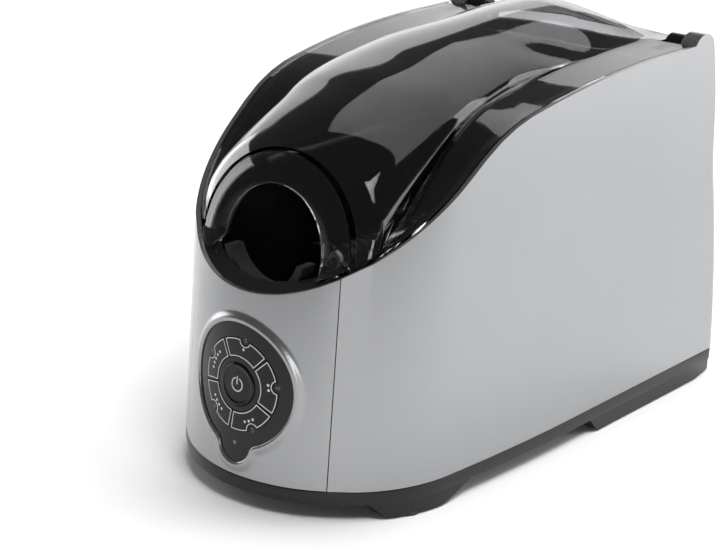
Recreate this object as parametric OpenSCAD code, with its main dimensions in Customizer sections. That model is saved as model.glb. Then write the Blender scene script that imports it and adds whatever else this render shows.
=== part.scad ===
// Rapid bottle chiller: a lidded ice-water basin in a moulded housing. Two rollers spin a bottle
// that lies on them, and a pump sprays it with ice water. Millimetres, Z up, the front faces -Y.

/* [Body] */
// Overall length, front to back
body_length = 338; // [282:1:406]
// Overall width of the housing
body_width = 177; // [170:1:213]
// Height of the flat top of the side walls
side_top = 213; // [205:1:240]
// Height of the seam between the base and the housing
seam_h = 17; // [15:0.5:20]
// Wall of the housing and of the front panel
wall = 2.6; // [2.2:0.1:3.2]
// Backward lean of the front, in degrees
front_lean = 4; // [2:0.5:6]
// Turn of the front curve from its middle to the panel's seam, in degrees
front_turn = 37.4; // [34:0.1:39]
// Width of the flat strip beside the front panel
strip_w = 15; // [12:0.5:18]
// Radius of the front corners behind the strip
corner_r = 78; // [70:1:84]

/* [Top line] */
// Height of the front lip under the bottle's neck
lip_h = 116.5; // [110:0.5:122]
// Slope of the side walls' front edge, in degrees
slope_a = 37; // [34:0.5:40]
// Radius where the slope turns into the top
shoulder_r = 94; // [80:1:110]
// Radius of the housing's hinge ears
ear_r = 11.5; // [11:0.1:13]
// Width of one hinge ear
ear_w = 10.5; // [9:0.5:12]

/* [Lid] */
// Wall of the clear lid
lid_t = 2.4; // [2:0.1:3]
// Rise of the lid's dome over its flange, at the rear
dome_rise = 17; // [12:0.5:20]
// Rise of the lid's arch over its foot, at the front rim
rim_rise = 48; // [44:0.5:52]
// Half width of the dome at its front, middle and rear
dome_half = [62, 53, 70];
// Radius of the neck opening in the collar
neck_r = 32.6; // [30:0.1:35]
// Gap between the lid's edge and the housing
lid_gap = 0.6; // [0.4:0.1:1]
// Depth of the basin's rim under the top line
rim_drop = 3.8; // [3.6:0.1:5]

/* [Bottle bed] */
// Height of the bottle's axis
bottle_z = 139.8; // [136:0.1:144]
// Half of the distance between the roller axes
roller_x = 26; // [24:0.5:30]
// Height of the roller axes
roller_z = 100.6; // [98:0.1:104]
// Radius of the rubber roller sleeves
sleeve_r = 8.5; // [8:0.1:9.2]
// Radius of the roller shafts
shaft_r = 4; // [3:0.1:5]
// Running clearance round a shaft
run_gap = 0.05; // [0.02:0.01:0.1]
// Height of the basin's floor
floor_z = 62; // [58:0.5:66]
// Wall of the basin
tub_t = 2.5; // [2:0.1:3]

/* [Control panel] */
// Radius of the black control panel
panel_r = 33; // [30:0.5:35]
// Height of the panel's centre over the seam
panel_v = 49.5; // [48:0.5:54]
// Radius of the tongue below the panel
tongue_r = 10.2; // [9:0.1:11]
// Width of the raised rim round the panel
rim_w = 5; // [4:0.5:6]
// Height of that rim over the front
rim_proud = 1.5; // [1:0.1:2]
// Radius of the start button
start_r = 11.5; // [10:0.1:12.5]
// Inner and outer radius of the ring of keys
key_ring = [14.8, 25];
// Clearance round each key
key_gap = 0.35; // [0.3:0.05:0.5]
// Travel of a key
key_travel = 0.8; // [0.5:0.1:1]

/* [Drives] */
// Radius of both belt pulleys
pulley_r = 11; // [10:0.5:12]
// Height of the spin motor's axis
motor_z = 38; // [37:0.5:41]
// Radius of the spin motor
motor_r = 17; // [15:0.5:18]
// Radius of the pump's impeller
impeller_r = 12.5; // [11:0.5:13]
// Radius of the mains cable that the gland takes
cable_r = 3.6; // [3:0.1:4.2]

/* [Hidden] */
$fn = 64;

silver = [0.76, 0.77, 0.78];
black = [0.09, 0.09, 0.1];
graphite = [0.24, 0.24, 0.25];
steel = [0.7, 0.7, 0.72];
rubber = [0.13, 0.13, 0.13];
smoke = [0.12, 0.12, 0.14, 0.6];
pcb = [0.1, 0.3, 0.18];

// ---- plan outline -------------------------------------------------------------------------
half_w = body_width / 2;
front_y = -body_length / 2 + rim_proud;
rear_y = body_length / 2;
strip_a = 40;      // heading of the flat strip
crease_a = 46;     // heading just behind the crease
side_a = 84.8;     // heading where the corner meets the bowed side
bow_r = 1210;      // radius of the bowed side
front_half = half_w - strip_w * cos(strip_a) - corner_r * (sin(side_a) - sin(crease_a))
    - bow_r * (1 - sin(side_a));
front_r = front_half / sin(front_turn);

function unit(v) = v / norm(v);
function arc(c, r, a0, a1, n) = [for (i = [0 : n]) let (a = a0 + (a1 - a0) * i / n)
    c + r * [cos(a), sin(a)]];
function left(h) = [-sin(h), cos(h)];
function half_plan() =
    let (front = arc([0, front_y + front_r], front_r, -90, front_turn - 90, 10))
    let (crease = front[10] + strip_w * [cos(strip_a), sin(strip_a)])
    let (corner = arc(crease + corner_r * left(crease_a), corner_r, crease_a - 90, side_a - 90, 8))
    let (bow = arc(corner[8] + bow_r * left(side_a), bow_r, side_a - 90, 0, 5))
    concat(front, corner, [for (i = [1 : 5]) bow[i]]);
function mirrored(p) = concat(p, [for (i = [len(p) - 1 : -1 : 1]) [-p[i].x, p[i].y]]);
// A closed outline, counter-clockwise, moved inwards by d
function inset(p, d) = let (n = len(p)) [for (i = [0 : n - 1])
    let (u = unit(p[i] - p[(i + n - 1) % n]), v = unit(p[(i + 1) % n] - p[i]))
    let (m = unit(left_of(u) + left_of(v)))
    p[i] + m * d / (m * left_of(u))];
function left_of(u) = [-u.y, u.x];
open_plan = mirrored(concat(half_plan(), [[half_w, rear_y + 60]]));
base_corner = 10;  // radius of the base's rear corners
base_plan = mirrored(concat(half_plan(),
    arc([half_w - base_corner, rear_y - base_corner], base_corner, 0, 90, 6)));

// ---- side profile -------------------------------------------------------------------------
top_a = 11;        // slope left after the shoulder
rear_in = 0.8;     // housing's rear behind the base's edge
rear_lean = [2, 11];
rear_bow = 661;    // radius of the rear wall's lower part
rear_foot = rear_y - rear_in;
rear_arc_y = rear_foot - rear_bow * (cos(rear_lean[0]) - cos(rear_lean[1]));
rear_arc_z = seam_h + rear_bow * (sin(rear_lean[1]) - sin(rear_lean[0]));
function rear_at(z) = rear_arc_y - (z - rear_arc_z) * tan(rear_lean[1]);
hinge_z = side_top - 6;
hinge_y = rear_at(hinge_z) - ear_r / cos(rear_lean[1]);
crest_y = hinge_y - 44;
lip_y = front_y + 6;
shoulder_dy = shoulder_r * (sin(slope_a) - sin(top_a));
shoulder_dz = shoulder_r * (cos(top_a) - cos(slope_a));
slope_end = (side_top - shoulder_dz - lip_h + lip_y * tan(slope_a)
    - (crest_y - shoulder_dy) * tan(top_a / 2)) / (tan(slope_a) - tan(top_a / 2));
top_start = slope_end + shoulder_dy;
top_r = (crest_y - top_start) / sin(top_a);
slope_end_z = lip_h + (slope_end - lip_y) * tan(slope_a);
shoulder_c = [slope_end + shoulder_r * sin(slope_a), slope_end_z - shoulder_r * cos(slope_a)];

// Height of the side walls' top edge at y
function top_at(y) = y < slope_end ? lip_h + (y - lip_y) * tan(slope_a)
    : y < top_start ? shoulder_c[1] + sqrt(pow(shoulder_r, 2) - pow(y - shoulder_c[0], 2))
    : y < crest_y ? side_top - top_r + sqrt(pow(top_r, 2) - pow(crest_y - y, 2))
    : side_top;

reach = 40;        // how far the profiles run past the front
rear_line = [for (i = [0 : 6]) let (a = rear_lean[0] + (rear_lean[1] - rear_lean[0]) * i / 6)
    [rear_foot - rear_bow * (cos(rear_lean[0]) - cos(a)),
     seam_h + rear_bow * (sin(a) - sin(rear_lean[0]))]];
top_line = concat(
    [for (i = [0 : 6]) let (y = crest_y - (crest_y - top_start) * i / 6) [y, top_at(y)]],
    [for (i = [1 : 6]) let (y = top_start - shoulder_dy * i / 6) [y, top_at(y)]],
    [[front_y - reach, top_at(front_y - reach)]]);
side_profile = concat([[front_y - reach, seam_h]], rear_line,
    [[rear_at(hinge_z), hinge_z], [hinge_y, side_top]], top_line);
below_profile = concat([[front_y - reach, 0], [rear_foot, 0]],
    [for (p = rear_line) p], [[rear_at(side_top + 60), side_top + 60],
    [front_y - reach, side_top + 60]]);

module along_x(points, w) {
    translate([-w, 0, 0]) rotate([90, 0, 90]) linear_extrude(2 * w) polygon(points);
}
// Everything inside the plan outline moved in by d, with the front's lean
module leaning(d) {
    translate([0, front_y, seam_h]) rotate([-front_lean, 0, 0])
        translate([0, -front_y, -60]) linear_extrude(400) polygon(inset(open_plan, d));
}
module top_cut(d) {
    along_x(inset(concat([[front_y - reach, -50], [rear_y + reach, -50],
        [rear_y + reach, side_top]], top_line), d), half_w + 20);
}
module y_cylinder(x, z, y0, y1, r) {
    translate([x, y0, z]) rotate([-90, 0, 0]) cylinder(h = y1 - y0, r = r);
}
module x_cylinder(y, z, x0, x1, r) {
    translate([x0, y, z]) rotate([0, 90, 0]) cylinder(h = x1 - x0, r = r);
}
module both_sides() {
    children();
    mirror([1, 0, 0]) children();
}

// ---- housing ------------------------------------------------------------------------------
seam_gap = 0.4;     // open line between the housing and the front panel
ear_in = half_w - ear_w;
rear_top = hinge_z - 3;

module outer_shell() {
    difference() {
        intersection() {
            leaning(0);
            along_x(side_profile, half_w + 20);
        }
        intersection() {
            leaning(wall);
            along_x(inset(below_profile, wall), half_w + 20);
        }
    }
}
module panel_zone(half) {
    translate([-half, front_y - reach, 0]) cube([2 * half, reach + front_half, side_top]);
}
module housing_shell() {
    color(silver) difference() {
        union() {
            difference() {
                outer_shell();
                panel_zone(front_half + seam_gap / 2);
                translate([-ear_in, hinge_y - 20, rear_top]) cube([2 * ear_in, 60, 60]);
            }
            both_sides() intersection() {
                leaning(0);
                union() {
                    x_cylinder(hinge_y, hinge_z, ear_in, half_w + 5, ear_r);
                    translate([ear_in, hinge_y - ear_r + 1.5, rear_top - 11])
                        cube([ear_w + 5, 2 * ear_r - 3, 14]);
                }
            }
        }
        both_sides() x_cylinder(hinge_y, hinge_z, ear_in - 1, half_w - 2, pin_r + 0.02);
        y_cylinder(gland_x, gland_z, rear_y - 20, rear_y + 10, gland_r);
        rear_vents();
    }
}
module rear_vents() {
    for (i = [0 : 6])
        translate([20 + i * 7, rear_y - 30, seam_h + 12]) cube([3, 50, 34]);
}
module front_panel() {
    color(silver) difference() {
        intersection() {
            outer_shell();
            panel_zone(front_half - seam_gap / 2);
        }
        on_panel() through(30) teardrop(rim_w + 0.1);
    }
}

// ---- base ---------------------------------------------------------------------------------
band_z = 9;        // underside of the base between its legs
leg_z = 0.8;       // underside of a leg, over the pads
plate_t = 2.5;
leg_w = 26;
front_leg = [[front_y + 30, band_z + 1], [front_y + 41, leg_z], [front_y + 70, leg_z],
    [front_y + 97, band_z + 1]];
rear_leg = [[rear_y - 137, band_z + 1], [rear_y - 127, leg_z], [rear_y - 1, leg_z],
    [rear_y, band_z + 1]];
pad_r = 8;
pads = [[half_w - 17, front_y + 56], [half_w - 11, rear_y - 112], [half_w - 11, rear_y - 16]];
screw_spots = [[half_w - 34, front_y + 48], [half_w - 22, 0], [half_w - 34, rear_y - 30]];
gland_x = -48;
gland_z = seam_h + 18;
gland_r = 9;

module base_tray() {
    color(graphite) difference() {
        union() {
            translate([0, 0, band_z]) linear_extrude(plate_t) polygon(base_plan);
            translate([0, 0, band_z]) linear_extrude(seam_h - band_z - 0.3) difference() {
                polygon(base_plan);
                polygon(inset(base_plan, 3));
            }
            translate([0, 0, band_z + plate_t - 0.5]) linear_extrude(9) difference() {
                polygon(inset(base_plan, 5.5));
                polygon(inset(base_plan, 7.5));
            }
            intersection() {
                translate([0, 0, leg_z]) linear_extrude(band_z) polygon(base_plan);
                both_sides() translate([half_w - leg_w / 2, 0, 0]) {
                    along_x(front_leg, leg_w / 2);
                    along_x(rear_leg, leg_w / 2);
                }
            }
            both_sides() for (p = screw_spots)
                translate([p.x, p.y, band_z]) cylinder(h = 12, r = 4.5);
        }
        both_sides() for (p = pads)
            translate([p.x, p.y, 0]) cylinder(h = leg_z + 1.6, r = pad_r + 0.1);
        both_sides() for (p = screw_spots) {
            translate([p.x, p.y, band_z - 1]) cylinder(h = 20, r = 1.8);
            translate([p.x, p.y, band_z - 1]) cylinder(h = 3, r = 3.6);
        }
    }
}
module foot_pads() {
    color(rubber) both_sides() for (p = pads)
        translate([p.x, p.y, 0]) cylinder(h = leg_z + 1.5, r = pad_r);
}
module base_screws() {
    color(steel) both_sides() for (p = screw_spots)
        translate([p.x, p.y, band_z + 0.1]) difference() {
            union() {
                cylinder(h = 1.8, r = 3.4);
                cylinder(h = 16, r = 1.7);
            }
            translate([0, 0, -1]) cylinder(h = 1.8, r = 1.4, $fn = 6);
        }
}

// ---- control panel ------------------------------------------------------------------------
key_back = 9;      // depth of the keys' rear faces
panel_t = 1.7;
tongue_v = 17.5;
neck_fillet = rim_w + 2;
first_key = 9;     // clockwise angle of the top key from the panel's top
light_r = 1.2;
notch_r = 3;
board_y = 15;

module on_panel() {
    translate([0, front_y, seam_h]) rotate([-front_lean, 0, 0]) children();
}
module through(depth) {
    translate([0, depth, 0]) rotate([90, 0, 0]) linear_extrude(depth + 10) children();
}
module skin(d0, d1) {
    translate([0, front_r, -20]) difference() {
        cylinder(h = 160, r = front_r - d0, $fn = 128);
        translate([0, 0, -1]) cylinder(h = 162, r = front_r - d1, $fn = 128);
    }
}
module teardrop(grow) {
    far = panel_r + neck_fillet;
    near = tongue_r + neck_fillet;
    apart = panel_v - tongue_v;
    down = (far * far - near * near + apart * apart) / (2 * apart);
    fillet = [sqrt(far * far - down * down), panel_v - down];
    touch = [0, panel_v] + (fillet - [0, panel_v]) * panel_r / far;
    translate([0, panel_v]) circle(r = panel_r + grow, $fn = 96);
    translate([0, tongue_v]) circle(r = tongue_r + grow);
    difference() {
        polygon([fillet, touch, [-touch.x, touch.y], [-fillet.x, fillet.y], [0, tongue_v]]);
        for (s = [-1, 1]) translate([s * fillet.x, fillet.y]) circle(r = neck_fillet - grow);
    }
}
function key_angle(i) = 90 - first_key - 72 * i;
module at_light(i) {
    a = key_angle(i);
    translate([key_ring[1] * cos(a), panel_v + key_ring[1] * sin(a)]) children();
}
module key_shape(i, grow) {
    a = key_angle(i);
    far = 2 * key_ring[1];
    spread = 34.4;
    side = [for (s = [-1, 1]) a + s * spread];
    difference() {
        intersection() {
            translate([0, panel_v]) difference() {
                circle(r = key_ring[1] + grow, $fn = 96);
                circle(r = key_ring[0] - grow);
            }
            translate([0, panel_v]) polygon([
                -grow / sin(spread) * [cos(a), sin(a)],
                far * [cos(side[0]), sin(side[0])] + grow * [sin(side[0]), -cos(side[0])],
                far * 1.2 * [cos(a), sin(a)],
                far * [cos(side[1]), sin(side[1])] + grow * [-sin(side[1]), cos(side[1])]]);
        }
        at_light(i) circle(r = notch_r - grow);
    }
}
module key(i) {
    color(black) on_panel() intersection() {
        through(key_back) key_shape(i, 0);
        skin(-0.3, 12);
    }
}
module start_button() {
    color(black) on_panel() intersection() {
        through(key_back) translate([0, panel_v]) circle(r = start_r);
        skin(-0.8, 12);
    }
}
module panel_rim() {
    color(silver) on_panel() intersection() {
        through(key_back + 6) difference() {
            teardrop(rim_w);
            teardrop(0.1);
        }
        skin(-rim_proud, wall + 1.2);
    }
}
module control_panel() {
    color(black) on_panel() difference() {
        intersection() {
            through(key_back + 6) teardrop(0);
            skin(0, panel_t);
        }
        through(30) translate([0, panel_v]) circle(r = start_r + key_gap);
        for (i = [0 : 4]) {
            through(30) key_shape(i, key_gap);
            through(30) at_light(i) circle(r = light_r + 0.05);
        }
        through(30) translate([0, tongue_v]) circle(r = light_r + 0.05);
    }
}
module mode_lights() {
    color([0.5, 0.65, 0.9]) on_panel() intersection() {
        for (i = [0 : 4]) through(key_back) at_light(i) circle(r = light_r);
        skin(0.1, 5);
    }
}
module ice_light() {
    color([0.5, 0.65, 0.9]) on_panel() intersection() {
        through(key_back) translate([0, tongue_v]) circle(r = light_r);
        skin(0.1, 5);
    }
}
module control_board() {
    color(pcb) on_panel() translate([-29, board_y, panel_v - 33]) cube([58, 1.6, 62]);
}
module key_switches() {
    color(steel) on_panel() {
        top = key_back + key_travel + 0.4;
        mid = (key_ring[0] + key_ring[1]) / 2;
        translate([-3, top, panel_v - 3]) cube([6, board_y - top, 6]);
        for (i = [0 : 4]) let (a = key_angle(i))
            translate([mid * cos(a) - 3, top, panel_v + mid * sin(a) - 3])
                cube([6, board_y - top, 6]);
    }
}

// ---- basin --------------------------------------------------------------------------------
tub_in = 11;       // basin's inner wall behind the housing's outside
tub_front = front_y + 74;
tub_rear = hinge_y - 16;
trough_z = bottle_z - 29;
rim_out = wall + 0.5;
deck_z = rear_top - 18;
sill_z = rear_top - 4;
tub_profile = [[tub_front, floor_z], [tub_rear, floor_z], [tub_rear, side_top + 50],
    [front_y - reach, side_top + 50], [front_y - reach, trough_z],
    [front_y + 24, trough_z]];

module basin() {
    color(black) difference() {
        intersection() {
            union() {
                intersection() {
                    leaning(tub_in - tub_t);
                    along_x(inset(tub_profile, -tub_t), half_w + 20);
                }
                difference() {
                    leaning(rim_out);
                    top_cut(rim_drop + tub_t);
                    translate([-half_w, tub_rear, 0]) cube([body_width, 200, 300]);
                }
            }
            top_cut(rim_drop);
            translate([-half_w, front_y - reach, 0])
                cube([body_width, tub_rear + tub_t - front_y + reach, 300]);
        }
        intersection() {
            leaning(tub_in);
            along_x(tub_profile, half_w + 20);
        }
        translate([-half_w, tub_rear - 18, sill_z]) cube([body_width, 60, 60]);
        translate([pump_x, pump_y, floor_z - 20]) cylinder(h = 40, r = seal_r + run_gap);
        translate([sensor_x, sensor_y, floor_z - 20]) cylinder(h = 40, r = sensor_r + run_gap);
        y_cylinder(roller_x, roller_z, tub_rear - 5, tub_rear + 20, seal_r + 1 + run_gap);
    }
}
module rear_deck() {
    deck_rear = rear_at(deck_z + 6) - wall - 0.6;
    color(black) translate([-half_w + rim_out, tub_rear + tub_t + 0.1, deck_z])
        difference() {
            cube([body_width - 2 * rim_out, deck_rear - tub_rear - tub_t - 0.1, 6]);
            translate([3, 3, -1]) cube([body_width - 2 * rim_out - 6,
                deck_rear - tub_rear - tub_t - 6.1, 4.5]);
        }
}
module neck_rest() {
    color(rubber) difference() {
        y_cylinder(0, bottle_z, front_y + 22, front_y + 32, 28.6);
        y_cylinder(0, bottle_z, front_y + 21, front_y + 33, 24.5);
        translate([-40, front_y + 20, bottle_z - 8]) cube([80, 14, 60]);
    }
}

// ---- bottle bed ---------------------------------------------------------------------------
cradle_ends = [tub_front + 30, tub_rear - 12];
plate_w = 4;
bush_r = 7;
shaft_ends = [cradle_ends[0] - 2, cradle_ends[1] + plate_w + 2];
sleeve_l = 30;
sleeve_y = [for (i = [0 : 2]) cradle_ends[0] + plate_w + 6
    + i * (cradle_ends[1] - cradle_ends[0] - plate_w - 12 - sleeve_l) / 2];
rail_x = 14;

module roller_cradle() {
    color(graphite) difference() {
        union() {
            for (y = cradle_ends) translate([-roller_x - 13, y, floor_z + 0.05])
                cube([2 * roller_x + 26, plate_w, roller_z + 9 - floor_z]);
            both_sides() translate([rail_x, cradle_ends[0], floor_z + 0.05])
                cube([6, cradle_ends[1] - cradle_ends[0] + plate_w, 5]);
        }
        both_sides() y_cylinder(roller_x, roller_z, cradle_ends[0] - 1, cradle_ends[1] + 10, bush_r);
        y_cylinder(0, bottle_z, cradle_ends[0] - 1, cradle_ends[1] + 10, 38.5 + 3);
        both_sides() for (y = [cradle_ends[0] + 20, cradle_ends[1] - 16])
            translate([rail_x + 3, y, floor_z - 1]) cylinder(h = 8, r = 1.6);
    }
}
module cradle_screws() {
    color(steel) both_sides() for (y = [cradle_ends[0] + 20, cradle_ends[1] - 16])
        translate([rail_x + 3, y, floor_z + 0.2]) {
            cylinder(h = 6, r = 1.5);
            translate([0, 0, 4.9]) cylinder(h = 2, r = 2.6);
        }
}
module roller_bushes() {
    color([0.85, 0.85, 0.82]) both_sides() for (y = cradle_ends) difference() {
        y_cylinder(roller_x, roller_z, y, y + plate_w, bush_r);
        y_cylinder(roller_x, roller_z, y - 1, y + plate_w + 1, shaft_r + run_gap);
    }
}
module drive_seal() {
    color(rubber) difference() {
        y_cylinder(roller_x, roller_z, tub_rear - 1, tub_rear + tub_t + 1.5, seal_r + 1);
        y_cylinder(roller_x, roller_z, tub_rear - 2, tub_rear + 10, shaft_r + run_gap);
    }
}
module drive_shaft() {
    color(steel) y_cylinder(roller_x, roller_z, shaft_ends[0], belt_y + 9, shaft_r);
}
module idler_shaft() {
    color(steel) y_cylinder(-roller_x, roller_z, shaft_ends[0], shaft_ends[1], shaft_r);
}
module sleeves(x) {
    color(rubber) for (y = sleeve_y) difference() {
        union() {
            y_cylinder(x, roller_z, y, y + sleeve_l, sleeve_r - 0.8);
            for (i = [0 : 4]) y_cylinder(x, roller_z, y + i * 6.5, y + i * 6.5 + 4, sleeve_r);
        }
        y_cylinder(x, roller_z, y - 1, y + sleeve_l + 1, shaft_r);
    }
}
module drive_sleeves() {
    sleeves(roller_x);
}
module idler_sleeves() {
    sleeves(-roller_x);
}

// ---- spin drive ---------------------------------------------------------------------------
belt_y = tub_rear + tub_t + 5.5;
belt_w = 6;
belt_t = 1.5;
motor_shaft_r = 3;
motor_l = 50;
motor_face = tub_rear - 4;

module pulley(z, bore) {
    color(graphite) difference() {
        union() {
            y_cylinder(roller_x, z, belt_y - 0.8, belt_y + belt_w + 0.8, pulley_r);
            y_cylinder(roller_x, z, belt_y - 1.8, belt_y - 0.5, pulley_r + 3);
            y_cylinder(roller_x, z, belt_y + belt_w + 0.5, belt_y + belt_w + 1.8, pulley_r + 3);
        }
        y_cylinder(roller_x, z, belt_y - 5, belt_y + 15, bore);
    }
}
module drive_pulley() {
    pulley(roller_z, shaft_r);
}
module motor_pulley() {
    pulley(motor_z, motor_shaft_r);
}
module loop(r) {
    translate([roller_x, roller_z]) circle(r = r);
    translate([roller_x, motor_z]) circle(r = r);
    translate([roller_x - r, motor_z]) square([2 * r, roller_z - motor_z]);
}
module drive_belt() {
    color(rubber) translate([0, belt_y + belt_w, 0]) rotate([90, 0, 0])
        linear_extrude(belt_w) difference() {
            loop(pulley_r + 0.35 + belt_t);
            loop(pulley_r + 0.35);
        }
}
module motor_shaft() {
    color(steel) y_cylinder(roller_x, motor_z, motor_face - 12, belt_y + 9, motor_shaft_r);
}
module spin_motor() {
    color(steel) difference() {
        union() {
            y_cylinder(roller_x, motor_z, motor_face - motor_l, motor_face, motor_r);
            y_cylinder(roller_x, motor_z, motor_face - motor_l - 5, motor_face - motor_l, 8);
        }
        y_cylinder(roller_x, motor_z, motor_face - 13, motor_face + 1, motor_shaft_r + run_gap);
    }
}
module motor_bracket() {
    color(steel) difference() {
        union() {
            translate([roller_x - motor_r - 6, motor_face + 0.05, band_z + plate_t + 0.05])
                cube([2 * motor_r + 12, 2.5, motor_z + motor_r - band_z - plate_t]);
            translate([roller_x - motor_r - 6, motor_face + 0.05 - 14, band_z + plate_t + 0.05])
                cube([2 * motor_r + 12, 16, 2.5]);
        }
        y_cylinder(roller_x, motor_z, motor_face - 1, motor_face + 5, 8);
    }
}

// ---- pump ---------------------------------------------------------------------------------
pump_x = -(half_w - tub_in - 21.5);
pump_y = 30;
pump_r = impeller_r + 4.5;
pump_h = 18;
seal_r = 6;
pump_shaft_r = 2;
screen_r = pump_r + 3.5;
screen_h = 26;
pipe_r = 3.2;
pipe_y = pump_y + screen_r + 10;
spray_x = half_w - tub_in - pipe_r - 5;
nipple_r = pipe_r - 0.8;
bore_fit = 0.02;
bore_stop = 0.8;    // how far a bore stops short of the bar's axis
spray_z = bottle_z + 12;
spray_ends = [front_y + 98, tub_rear - 5];
nozzle_pitch = (spray_ends[1] - spray_ends[0] - 59) / 9;
cross_y = spray_ends[1] - pipe_r;
sensor_x = half_w - tub_in - 18;
sensor_y = tub_front + 18;
sensor_r = 3;
outlet_z = floor_z + 9;

module pump_housing() {
    color(graphite) difference() {
        union() {
            translate([pump_x, pump_y, floor_z + 0.05]) cylinder(h = pump_h, r = pump_r);
            y_cylinder(pump_x, outlet_z, pump_y + 10, pipe_y - 4, 4.5);
        }
        translate([pump_x, pump_y, floor_z + 3]) cylinder(h = pump_h - 5.5, r = pump_r - 2.5);
        translate([pump_x, pump_y, floor_z - 1]) cylinder(h = 6, r = seal_r + 0.3);
        translate([pump_x, pump_y, floor_z + 8]) cylinder(h = pump_h, r = 5.5);
        y_cylinder(pump_x, outlet_z, pump_y + 8, pipe_y, pipe_r + 0.02);
    }
}
module pump_seal() {
    color(rubber) translate([pump_x, pump_y, floor_z - tub_t]) difference() {
        cylinder(h = tub_t + 1.5, r = seal_r);
        translate([0, 0, -1]) cylinder(h = 10, r = pump_shaft_r + run_gap);
    }
}
module impeller() {
    color([0.8, 0.8, 0.82]) translate([pump_x, pump_y, floor_z + 5]) difference() {
        union() {
            cylinder(h = 2, r = impeller_r);
            cylinder(h = 8, r = 4);
            for (i = [0 : 5]) rotate([0, 0, 60 * i])
                translate([3, -0.7, 0]) cube([impeller_r - 3.6, 1.4, 8]);
        }
        translate([0, 0, -1]) cylinder(h = 12, r = pump_shaft_r);
    }
}
module pump_shaft() {
    color(steel) translate([pump_x, pump_y, floor_z - 18]) cylinder(h = 30, r = pump_shaft_r);
}
module pump_motor() {
    color(steel) difference() {
        union() {
            translate([pump_x, pump_y, band_z + plate_t + 10]) cylinder(h = 34, r = 15);
            translate([pump_x, pump_y, floor_z - tub_t - 5.5]) cylinder(h = 5.4, r = 19);
        }
        translate([pump_x, pump_y, floor_z - 20]) cylinder(h = 30, r = pump_shaft_r + run_gap);
    }
}
module filter_screen() {
    color(graphite) difference() {
        translate([pump_x, pump_y, floor_z + 0.4]) cylinder(h = screen_h, r = screen_r);
        translate([pump_x, pump_y, floor_z - 1]) cylinder(h = screen_h - 1, r = screen_r - 2);
        translate([pump_x - 5.2, pump_y, floor_z - 1]) cube([10.4, 40, outlet_z - floor_z + 6.5]);
        for (i = [-3 : 3]) translate([pump_x - 13, pump_y + i * 4.2 - 0.9, floor_z])
            cube([26, 1.8, 60]);
        for (a = [0 : 30 : 330]) if (a < 60 || a > 120)
            translate([pump_x, pump_y, floor_z + 6]) rotate([0, 0, a])
                translate([10, -1, 0]) cube([20, 2, 14]);
    }
}
module delivery_pipe() {
    color(black) difference() {
        union() {
            y_cylinder(pump_x, outlet_z, pipe_y - 10, pipe_y, pipe_r);
            x_cylinder(pipe_y, outlet_z, -spray_x, pump_x, pipe_r);
            for (x = [-spray_x, pump_x]) translate([x, pipe_y, outlet_z]) sphere(r = pipe_r + 0.8);
            translate([-spray_x, pipe_y, outlet_z]) {
                cylinder(h = spray_z - pipe_r - 0.3 - outlet_z, r = pipe_r);
                cylinder(h = spray_z - 1 - outlet_z, r = nipple_r);
            }
        }
        y_cylinder(pump_x, outlet_z, pipe_y - 11, pipe_y - 3, pipe_r - 1);
    }
}
module spray_bar(x) {
    color(black) difference() {
        union() {
            y_cylinder(x, spray_z, spray_ends[0], spray_ends[1], pipe_r);
            intersection() {
                leaning(tub_in + 0.05);
                for (y = [spray_ends[0] + 8, spray_ends[1] - 14])
                    translate([x < 0 ? -half_w : x, y, spray_z - 2.5]) cube([half_w - spray_x, 6, 5]);
            }
        }
        x_cylinder(cross_y, spray_z, min(x - sign(x) * bore_stop, x - sign(x) * 2 * pipe_r),
            max(x - sign(x) * bore_stop, x - sign(x) * 2 * pipe_r), nipple_r + bore_fit);
        if (x < 0) translate([x, pipe_y, spray_z - 2 * pipe_r])
            cylinder(h = 2 * pipe_r - bore_stop, r = nipple_r + bore_fit);
        for (i = [0 : 9]) translate([x, spray_ends[0] + 20 + i * nozzle_pitch, spray_z])
            rotate([0, x < 0 ? 90 : -90, 0]) cylinder(h = 6, r = 0.9);
    }
}
module spray_bar_left() {
    spray_bar(-spray_x);
}
module spray_bar_right() {
    spray_bar(spray_x);
}
module spray_crossover() {
    color(black) x_cylinder(cross_y, spray_z, -spray_x + 1, spray_x - 1, nipple_r);
}
module ice_sensor() {
    color(steel) translate([sensor_x, sensor_y, floor_z - tub_t - 4]) {
        cylinder(h = 20, r = sensor_r);
        cylinder(h = 3.9, r = 6, $fn = 6);
    }
}

// ---- power --------------------------------------------------------------------------------
board_z = band_z + plate_t + 5;
module power_board() {
    color(pcb) {
        translate([-40, front_y + 48, board_z]) cube([74, 70, 1.6]);
        for (x = [-36, 30]) for (y = [front_y + 52, front_y + 114])
            translate([x, y, band_z + plate_t + 0.05]) cylinder(h = 5, r = 2.5);
    }
}
module transformer() {
    color([0.55, 0.45, 0.2]) translate([-32, front_y + 64, board_z + 1.65]) union() {
        cube([40, 34, 24]);
        translate([4, -4, 3]) cube([32, 42, 18]);
    }
}
module cable_gland() {
    gland_face = rear_foot + 0.4;
    color(black) difference() {
        union() {
            y_cylinder(gland_x, gland_z, rear_y - 16, gland_face, gland_r - 0.05);
            y_cylinder(gland_x, gland_z, rear_y - 16, rear_y - 10, gland_r + 3);
        }
        y_cylinder(gland_x, gland_z, rear_y - 18, rear_y + 5, cable_r);
    }
}

// ---- lid ----------------------------------------------------------------------------------
rim_lean = 13;     // backward lean of the lid's front rim
rim_foot = front_y + 30.5;
lid_rear = hinge_y + 3.2;
knuckle = [half_w - 22.5, half_w - ear_w - 0.5];
knuckle_r = 9;
pin_r = 2.5;
crown = 2.5;
smooth_from = -10;
smooth_to = 60;

edge_table = let (p = inset(mirrored(concat(half_plan(), [[half_w, rear_y + 60]])), wall + lid_gap))
    [for (i = [0 : len(half_plan())]) [p[i].y, p[i].x]];
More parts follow.
